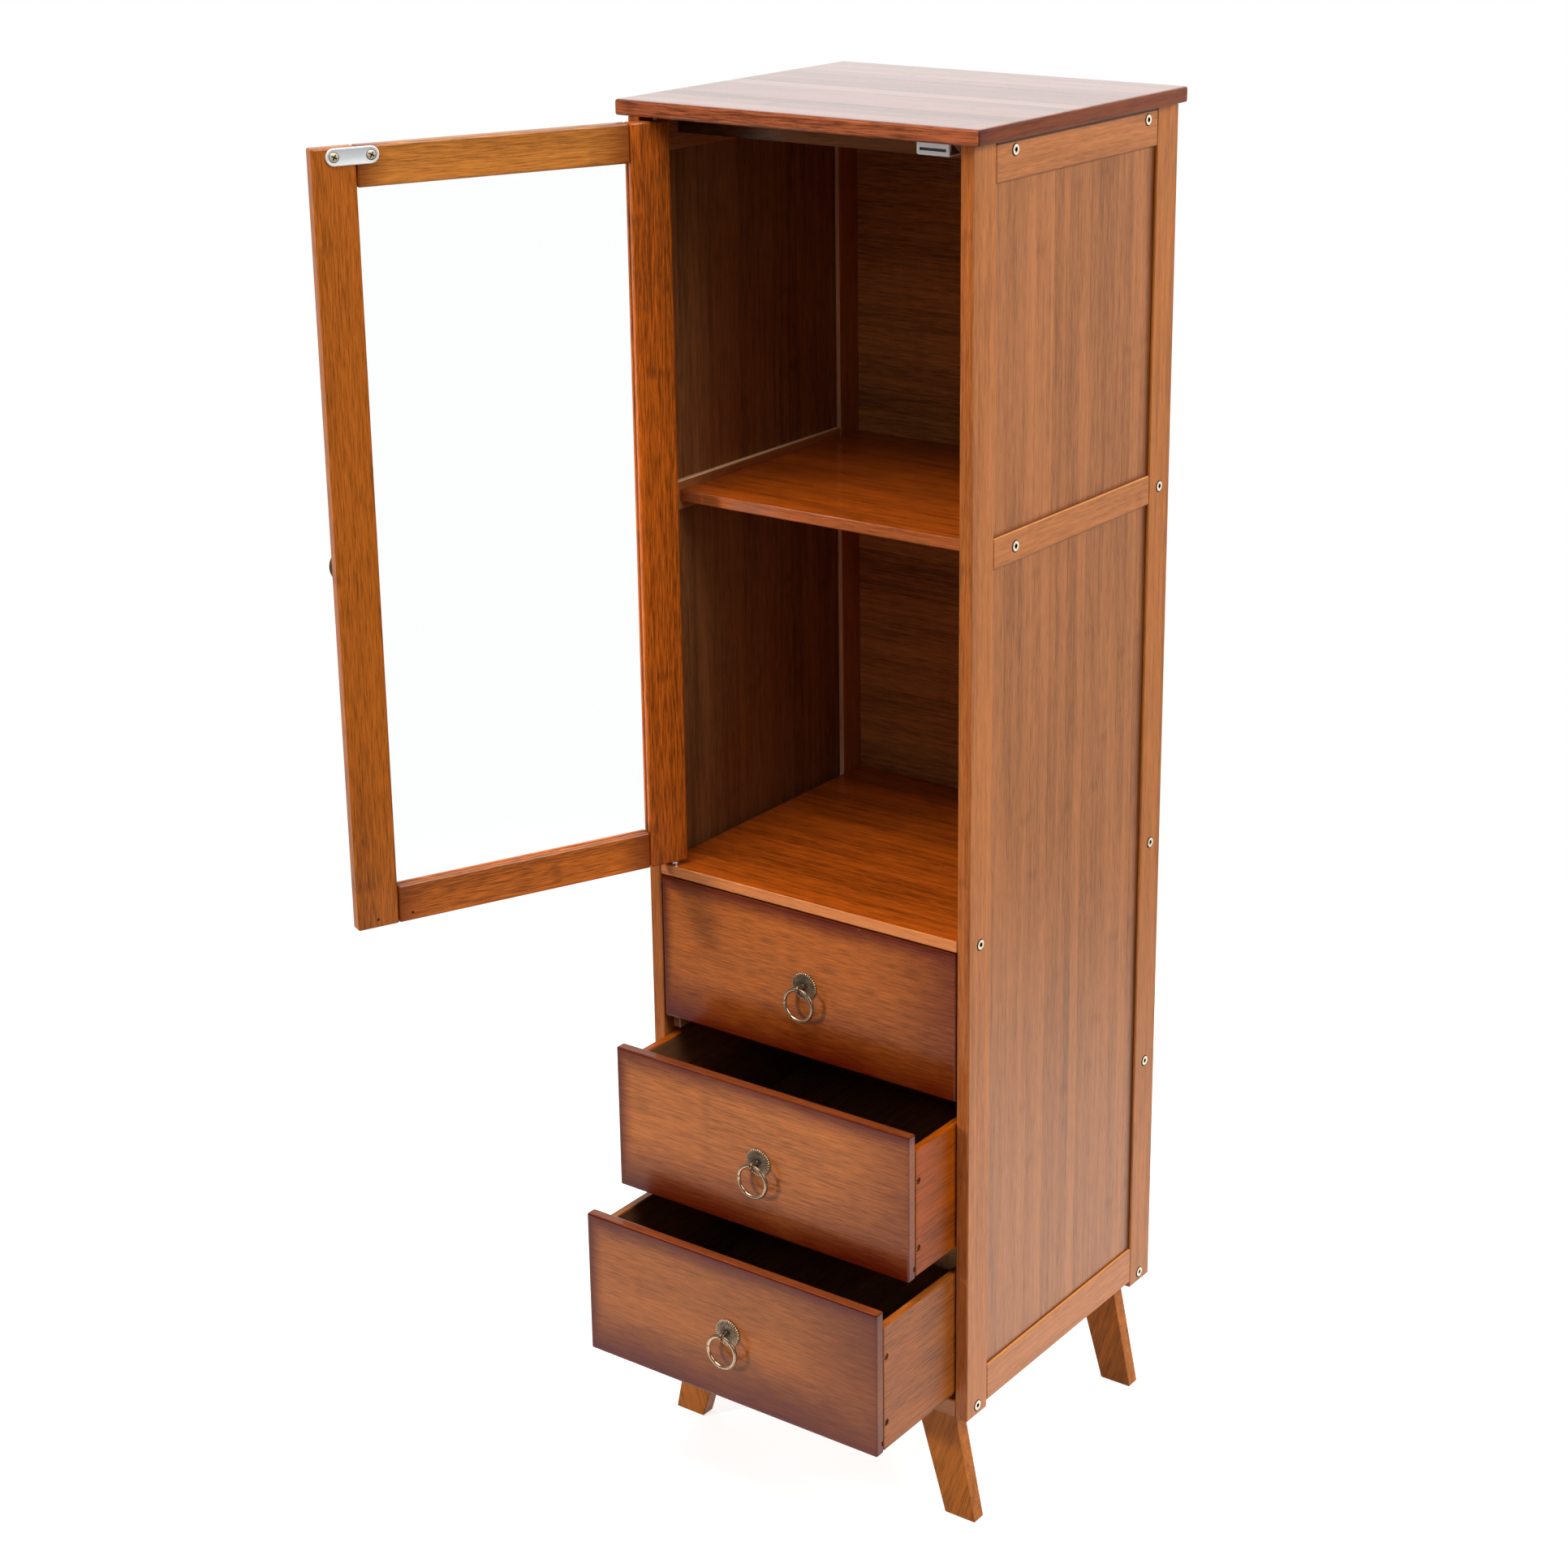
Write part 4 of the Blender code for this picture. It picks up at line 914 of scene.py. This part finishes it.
# Top faces of the drawer fronts, and the heads of the screws at both sides
FRONT_TOP = bamboo(
    "front_top_bamboo", "xyz", FRONT_TOP_TONES, FRONT_TOP_STRIP, 48.9, lacquer=0.4
)
FRONT_TOP_DEPTH = 0.0003
DRAWER_SCREW_RISES = (0.0265, 0.0875)
DRAWER_SCREW_IN = 0.014
DRAWER_SCREW_REACH = 0.0029
for level in LEVELS:
    front = f"drawer_{level}_front"
    low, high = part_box(front)
    dress_part(front, FRONT_TOP, lambda point: point.z > high.z - FRONT_TOP_DEPTH)
    for rise in DRAWER_SCREW_RISES:
        axis_y = low.y + DRAWER_SCREW_IN
        axis_z = low.z + rise
        dress_part(
            front,
            DRAWER_SCREW,
            lambda point: off_middle(point) > DRAWER_INNER + NEAR
            and math.hypot(point.y - axis_y, point.z - axis_z) < DRAWER_SCREW_REACH,
        )

# Pins and the catch
dress(ZINC, "lower_pivot_pin", "upper_pivot_pin")
dress(plastic("white_plastic", (0.60, 0.58, 0.58), 0.40), "magnetic_catch")
dress_part("magnetic_catch", plastic("slot_plastic", (0.05, 0.05, 0.06), 0.50), in_slot)

# Finishes of the small hardware
AGED_BRASS = aged_brass("aged_brass")
# Painted shade round the bolt heads' seats
SEAT_SHADE = bamboo("seat_shade_bamboo", "yzx", SHADED_TONES, THIN_STRIP, 47.3, lacquer=0.0)
STRIKE_ZINC = rubbed_and_shaded("rubbed_zinc", (0.62, 0.66, 0.70), (0.94, 0.93, 0.89), 0.30)
# The screws' near-black dull colour is painted shade in their sunk cross and round their rim
YELLOW_SCREW = rubbed_and_shaded("yellow_screw", (0.012, 0.007, 0.003), (0.60, 0.51, 0.36), 0.34)


# Small hardware, each piece in axes of its own, with +Z out of the face that carries it
class Shape:
    """Points, faces and how far each point is rubbed bright (on the screws, low values are painted
    shade), put together from simple sweeps.
    """

    def __init__(self):
        self.points = []
        self.rub_and_shade_values = []
        self.faces = []

    def sweep(self, rows, closed=False, matrix=Matrix()):
        """Joins rows of (x, y, z, rub), each a loop of one length, and caps them if not closed."""
        first = len(self.points)
        count = len(rows[0])
        for x, y, z, rub_and_shade in (entry for row in rows for entry in row):
            self.points.append(matrix @ Vector((x, y, z)))
            self.rub_and_shade_values.append(rub_and_shade)
        for i in range(len(rows) if closed else len(rows) - 1):
            a = first + i * count
            b = first + (i + 1) % len(rows) * count
            for k in range(count):
                n = (k + 1) % count
                self.faces.append((a + k, a + n, b + n, b + k))
        if not closed:
            last = first + (len(rows) - 1) * count
            self.faces.append(range(first + count - 1, first - 1, -1))
            self.faces.append(range(last, last + count))

    def piece(self, name, matrix, material, body, slot):
        mesh = bpy.data.meshes.new(name)
        mesh.from_pydata(self.points, [], self.faces)
        mesh.attributes.new("rub_and_shade", "FLOAT", "POINT").data.foreach_set("value", self.rub_and_shade_values)
        mesh.shade_smooth()
        mesh.set_sharp_from_angle(angle=math.radians(48.0))
        mesh.materials.append(material)
        obj = bpy.data.objects.new(name, mesh)
        obj.matrix_world = matrix
        bpy.context.scene.collection.objects.link(obj)
        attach(obj, body)
        return obj


def turned(profile, shape, steps):
    """Rows round Z: shape gives radius, height and rub for a profile's radius and height."""
    rows = []
    for radius, height in profile:
        row = []
        for step in range(steps):
            angle = 2 * math.pi * step / steps
            r, h, rub_and_shade = shape(radius, height, angle)
            row.append((r * math.cos(angle), r * math.sin(angle), h, rub_and_shade))
        rows.append(row)
    return rows


# The dips in a wire, as shares of its thickness and in radians round the ring, and how dark the
# joint's dip is
JOINT_DEPTH = 0.16
JOINT_SPREAD = 0.022
JOINT_DARK = 5.0
WEAR_DEPTH = 0.18
WEAR_SPREAD = 0.34


def dip(angle, place, depth, spread):
    """A smooth dip round one angle, or none."""
    if place is None:
        return 0.0
    return depth * math.exp(-(((angle - place) / spread) ** 2))


def wire(radius, thick, around, across, joint=None, worn_at=None):
    """Rows of a round wire bent to a ring round Z, perhaps jointed or worn thinner at an angle."""
    rows = []
    for i in range(around):
        angle = 2 * math.pi * i / around
        narrow = dip(angle, joint, JOINT_DEPTH, JOINT_SPREAD)
        left = 1.0 - narrow - dip(angle, worn_at, WEAR_DEPTH, WEAR_SPREAD)
        row = []
        for k in range(across):
            roll = -2 * math.pi * k / across
            reach = radius + thick * left * math.cos(roll)
            height = thick * left * math.sin(roll)
            rub_and_shade = (0.70 - 0.25 * math.cos(roll)) * (1.0 - JOINT_DARK * narrow)
            row.append((reach * math.cos(angle), reach * math.sin(angle), height, rub_and_shade))
        rows.append(row)
    return rows


def on_face(place, angle):
    """Axes on an upright face; at no angle it looks to -Y."""
    upright = Matrix.Rotation(math.radians(90.0), 4, "X")
    return Matrix.Translation(place) @ Matrix.Rotation(angle, 4, "Z") @ upright


# Ring pulls: wires by their radius of bend and half their thickness, a plate by its profile
EYE_REACH = 0.009
EYE_RADIUS = 0.0028
EYE_WIRE = 0.0011
RING_RADIUS = 0.0142
RING_WIRE = 0.0017
RING_JOINT = math.radians(172.0)
RING_WORN = math.radians(90.0)
FLUTES = 36
FLUTE_DEPTH = 0.0008
RIM_START = 0.0106
RIM_WIDTH = 0.0012
RIM_HEIGHT = 0.0011
RIDGE_START = 0.0030
RIDGE_WIDTH = 0.0040
RIDGE_HEIGHT = 0.00022
PLATE_PROFILE = (
    (0.0125, 0.0),
    (0.0125, 0.0006),
    (0.0124, 0.0010),
    (0.0121, 0.0013),
    (0.0117, 0.0013),
    (0.0110, 0.0012),
    (0.0100, 0.0014),
    (0.0088, 0.00175),
    (0.0074, 0.00205),
    (0.0060, 0.00225),
    (0.0045, 0.0024),
    (0.0034, 0.0027),
    (0.0027, 0.0032),
    (0.0023, 0.0040),
    (0.0022, 0.0054),
    (0.0021, 0.0062),
    (0.0016, 0.0066),
)


def clamped(value):
    return min(1.0, max(0.0, value))


def fluted(radius, height, angle):
    """Teeth round the rim, and ridges that run in over the dome and die out at the post."""
    wave = 0.5 + 0.5 * math.cos(FLUTES * angle)
    rim = clamped((radius - RIM_START) / RIM_WIDTH)
    ridge = clamped((radius - RIDGE_START) / RIDGE_WIDTH)
    lift = RIDGE_HEIGHT * ridge * (wave - 0.5) if height > RIM_HEIGHT else 0.0
    rub_and_shade = 0.28 + 0.42 * wave * ridge + 0.60 * rim * wave**2
    return radius - FLUTE_DEPTH * rim * (1.0 - wave), height + lift, rub_and_shade


def ring_pull(label, body, place, angle):
    """A fluted plate with its eye, and the ring that hangs in the eye."""
    axes = on_face(place, angle)
    plate = Shape()
    plate.sweep(turned(PLATE_PROFILE, fluted, FLUTES * 10))
    upright_eye = Matrix.Translation((0.0, 0.0, EYE_REACH)) @ Matrix.Rotation(math.pi / 2, 4, "Y")
    plate.sweep(wire(EYE_RADIUS, EYE_WIRE, 48, 16), True, upright_eye)
    piece = plate.piece(f"{label}_plate_and_eye", axes, AGED_BRASS, body, "antique_brass")
    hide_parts(f"{label}_pull_plate")
    ring = Shape()
    hanging = Matrix.Translation((0.0, -RING_RADIUS, EYE_REACH))
    ring.sweep(wire(RING_RADIUS, RING_WIRE, 128, 24, RING_JOINT, RING_WORN), True, hanging)
    piece = ring.piece(f"{label}_hanging_ring", axes, AGED_BRASS, f"{label}_ring", "antique_brass")
    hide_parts(f"{label}_pull_ring")


ring_pull("door", "door", DOOR_PULL_PLACE, DOOR_FACE_TURN)
for level in LEVELS:
    low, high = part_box(f"drawer_{level}_pull_plate")
    centre = ((low.x + high.x) / 2, high.y, (low.z + high.z) / 2)
    ring_pull(f"drawer_{level}", f"drawer_{level}", centre, 0.0)

# Strike plate: its place, half its length, the radius of its ends, its edge as inset, height and
# rub, and how far out its screws are
STRIKE_PLACE = (-0.191008, -0.257141, 1.1767)
STRIKE_HALF = 0.0215
STRIKE_END = 0.00675
STRIKE_EDGE = (
    (0.0, 0.0, 1.0),
    (0.0, 0.0008, 1.0),
    (0.0002, 0.0011, 1.0),
    (0.0007, 0.0012, 1.0),
    (0.0010, 0.00115, 0.2),
)
STRIKE_SCREW_OFF = 0.015
END_STEPS = 24

# Its screws: the head's rim and crown as radius and height, where painted shade on the rim starts,
# and the cross that is sunk in it, which also takes painted shade
HEAD_RIM = (
    (0.0041, 0.0010),
    (0.0041, 0.00128),
    (0.0037, 0.00128),
    (0.0036, 0.0014),
    (0.0034, 0.0018),
)
HEAD_CROWN = tuple((0.0032 - 0.0001 * i, 0.0020 + 0.00045 * math.sin(i * 0.05)) for i in range(31))
HEAD_SHADED_RIM = 0.00365
CROSS_TURN = 0.5
CROSS_HALF = 0.00056
CROSS_REACH = 0.0024
CROSS_DEPTH = 0.0009
ARM_SOFT = 0.00016
END_SOFT = 0.00025


def plate_outline(inset, height, rub_and_shade):
    """A loop round a plate whose ends are half circles."""
    row = []
    radius = STRIKE_END - inset
    for side in (1.0, -1.0):
        for step in range(END_STEPS + 1):
            angle = math.pi * (step / END_STEPS - 0.5)
            x = side * (STRIKE_HALF - STRIKE_END + radius * math.cos(angle))
            row.append((x, side * radius * math.sin(angle), height, rub_and_shade))
    return row


def cross_recess(radius, height, angle):
    """A pan head: a cross with soft edges is sunk in it, and painted shade darkens the cross and
    the rim.
    """
    x = abs(radius * math.cos(angle + CROSS_TURN))
    y = abs(radius * math.sin(angle + CROSS_TURN))
    arms = (min(x, y) - CROSS_HALF) / ARM_SOFT
    reach = (max(x, y) - CROSS_REACH) / END_SOFT
    sunk = clamped(0.5 - arms) * clamped(0.5 - reach)
    rub_and_shade = 0.0 if radius > HEAD_SHADED_RIM else 1.0 - sunk
    return radius, height - CROSS_DEPTH * sunk, rub_and_shade


def strike_plate():
    """A bright plate with eased edges, and its two screws."""
    axes = on_face(STRIKE_PLACE, DOOR_FACE_TURN + math.pi)
    plate = Shape()
    plate.sweep([plate_outline(*outline) for outline in STRIKE_EDGE])
    piece = plate.piece("strike_plate", axes, STRIKE_ZINC, "door", "bright_zinc")
    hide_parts("door_strike_plate")
    screws = Shape()
    rows = turned(HEAD_RIM + HEAD_CROWN, cross_recess, 96)
    for side in (-1.0, 1.0):
        spot = Matrix.Translation((side * STRIKE_SCREW_OFF, 0.0, 0.0))
        screws.sweep(rows, False, spot)
    screws.piece("strike_screws", axes, YELLOW_SCREW, "door", "bright_zinc")


# Frame bolts, by their place from front to back and from the floor up, and the dark ring of painted
# shade round the seat of each, by its radius and height
BOLTS = (
    (0.03451, 1.1777),
    (0.23521, 1.1777),
    (0.03991, 0.8657),
    (0.26771, 0.8657),
    (-0.00699, 0.5420),
    (0.26771, 0.5420),
    (0.26771, 0.3310),
    (-0.00699, 0.11675),
    (0.26771, 0.11675),
)
SEAT_PROFILE = ((0.0052, -0.0002), (0.0051, 0.00012), (0.0042, 0.00012), (0.0042, -0.0002))


def bolt_seats():
    """Dark rings of painted shade round the sunk seats that the bolt heads sit in, a little proud
    of the wood.
    """
    for side, turn in (("left", -math.pi / 2), ("right", math.pi / 2)):
        sign = math.copysign(1.0, turn)
        seats = Shape()
        rows = turned(SEAT_PROFILE, lambda radius, height, angle: (radius, height, 0.0), 40)
        for y, z in BOLTS:
            seats.sweep(rows, False, Matrix.Translation((sign * y, z, 0.0)))
        axes = on_face((CASE_X + sign * FRAME_OUTER, 0.0, 0.0), turn)
        seats.piece(f"{side}_bolt_seats", axes, SEAT_SHADE, "case", "dark_bamboo")


bolt_seats()
strike_plate()


# Floor and light. The floor glows like the room round it, and less so where it would only tint
# what stands on it. The backdrop lies one way: how far round to it the light starts and is full,
# and how strong it is at both.
FLOOR_CENTRE = (CASE_X, 0.05)
FLOOR_RADIUS = 2.4
FLOOR_FADE = (0.5, 1.7)
FLOOR_GLOW = 0.78
FLOOR_GLOW_LOST = 0.58
BACKDROP_TOWARDS = (-0.553, 0.824, 0.12)
BACKDROP = (-0.05, 0.85, 0.035, 1.05)
WHITE = (1.0, 1.0, 1.0, 1.0)
WARM = (1.0, 0.97, 0.94)
LIT_PLACE = Vector((CASE_X, 0.10, 0.60))

# Soft boxes: azimuth in degrees from the front towards the right side, height, distance, size,
# power, and whether they show in gloss
SOFT_LIGHTS = (
    ("top_box", -4.0, 3.60, 1.35, (1.8, 1.6), 95.0, True),
    ("right_box", 84.0, 2.20, 2.4, (1.2, 1.6), 60.0, True),
    ("left_box", -32.0, 1.15, 2.8, (0.20, 0.22), 40.0, False),
    ("rear_box", 160.0, 1.30, 2.6, (0.5, 1.4), 75.0, False),
    ("camera_box", 30.0, 2.60, 3.4, (1.0, 1.0), 5.0, False),
)


def floor():
    """A pale sheet on the ground, which thins out into the pale room."""
    tree = Tree("pale_floor")
    x, y, _ = tree.split(tree.place())
    cloud = tree.speckle(3.0)
    off_x = tree.math("SUBTRACT", x, FLOOR_CENTRE[0])
    off_y = tree.math("SUBTRACT", y, FLOOR_CENTRE[1])
    square = tree.total((off_y, off_y))
    distance = tree.math("SQRT", tree.math("MULTIPLY_ADD", off_x, off_x, square))
    path = tree.nodes.new("ShaderNodeLightPath").outputs
    tree.look(
        Base_Color=tree.mix(cloud, (0.42, 0.42, 0.42), (0.46, 0.46, 0.46)),
        Roughness=0.9,
        Specular_IOR_Level=0.1,
        Alpha=tree.step(distance, *FLOOR_FADE, 1.0, 0.0),
        Emission_Color=WHITE,
        Emission_Strength=tree.total(FLOOR_GLOW, (path["Is Diffuse Ray"], -FLOOR_GLOW_LOST)),
    )
    mesh = bpy.data.meshes.new("floor")
    bm = bmesh.new()
    bmesh.ops.create_circle(bm, cap_ends=True, segments=96, radius=FLOOR_RADIUS)
    bm.to_mesh(mesh)
    bm.free()
    mesh.transform(Matrix.Translation((*FLOOR_CENTRE, 0.0)))
    mesh.materials.append(tree.material)
    obj = bpy.data.objects.new("floor", mesh)
    bpy.context.scene.collection.objects.link(obj)


def soft_light(name, azimuth, height, distance, size, power, glossy):
    """A soft box beside or over the cabinet, aimed at its middle."""
    data = bpy.data.lights.new(name, "AREA")
    data.shape = "RECTANGLE"
    data.size, data.size_y = size
    data.energy = power
    data.color = WARM
    obj = bpy.data.objects.new(name, data)
    obj.visible_glossy = glossy
    angle = math.radians(azimuth)
    place = LIT_PLACE + Vector((distance * math.sin(angle), -distance * math.cos(angle), 0.0))
    place.z = height
    aim = (LIT_PLACE - place).to_track_quat("-Z", "Y").to_matrix().to_4x4()
    obj.matrix_world = Matrix.Translation(place) @ aim
    bpy.context.scene.collection.objects.link(obj)


def world():
    """A pale room: a bright backdrop behind the cabinet, dim in front and at the sides."""
    room = bpy.data.worlds.new("room")
    room.use_nodes = True
    nodes = room.node_tree.nodes
    links = room.node_tree.links
    dot = nodes.new("ShaderNodeVectorMath")
    dot.operation = "DOT_PRODUCT"
    links.new(nodes.new("ShaderNodeTexCoord").outputs["Generated"], dot.inputs[0])
    dot.inputs[1].default_value = BACKDROP_TOWARDS
    spread = nodes.new("ShaderNodeMapRange")
    spread.interpolation_type = "SMOOTHSTEP"
    links.new(dot.outputs["Value"], spread.inputs[0])
    for value, socket in zip(BACKDROP, spread.inputs[1:5]):
        socket.default_value = value
    seen = nodes.new("ShaderNodeMix")
    path = nodes.new("ShaderNodeLightPath").outputs
    through = nodes.new("ShaderNodeMath")
    through.operation = "MAXIMUM"
    links.new(path["Is Camera Ray"], through.inputs[0])
    links.new(path["Is Transmission Ray"], through.inputs[1])
    links.new(through.outputs[0], seen.inputs[0])
    links.new(spread.outputs[0], seen.inputs[2])
    seen.inputs[3].default_value = 1.0
    background = nodes["Background"]
    background.inputs["Color"].default_value = WHITE
    links.new(seen.outputs[0], background.inputs["Strength"])
    bpy.context.scene.world = room


camera()
floor()
world()
for light in SOFT_LIGHTS:
    soft_light(*light)
bpy.context.scene.view_settings.view_transform = "Standard"
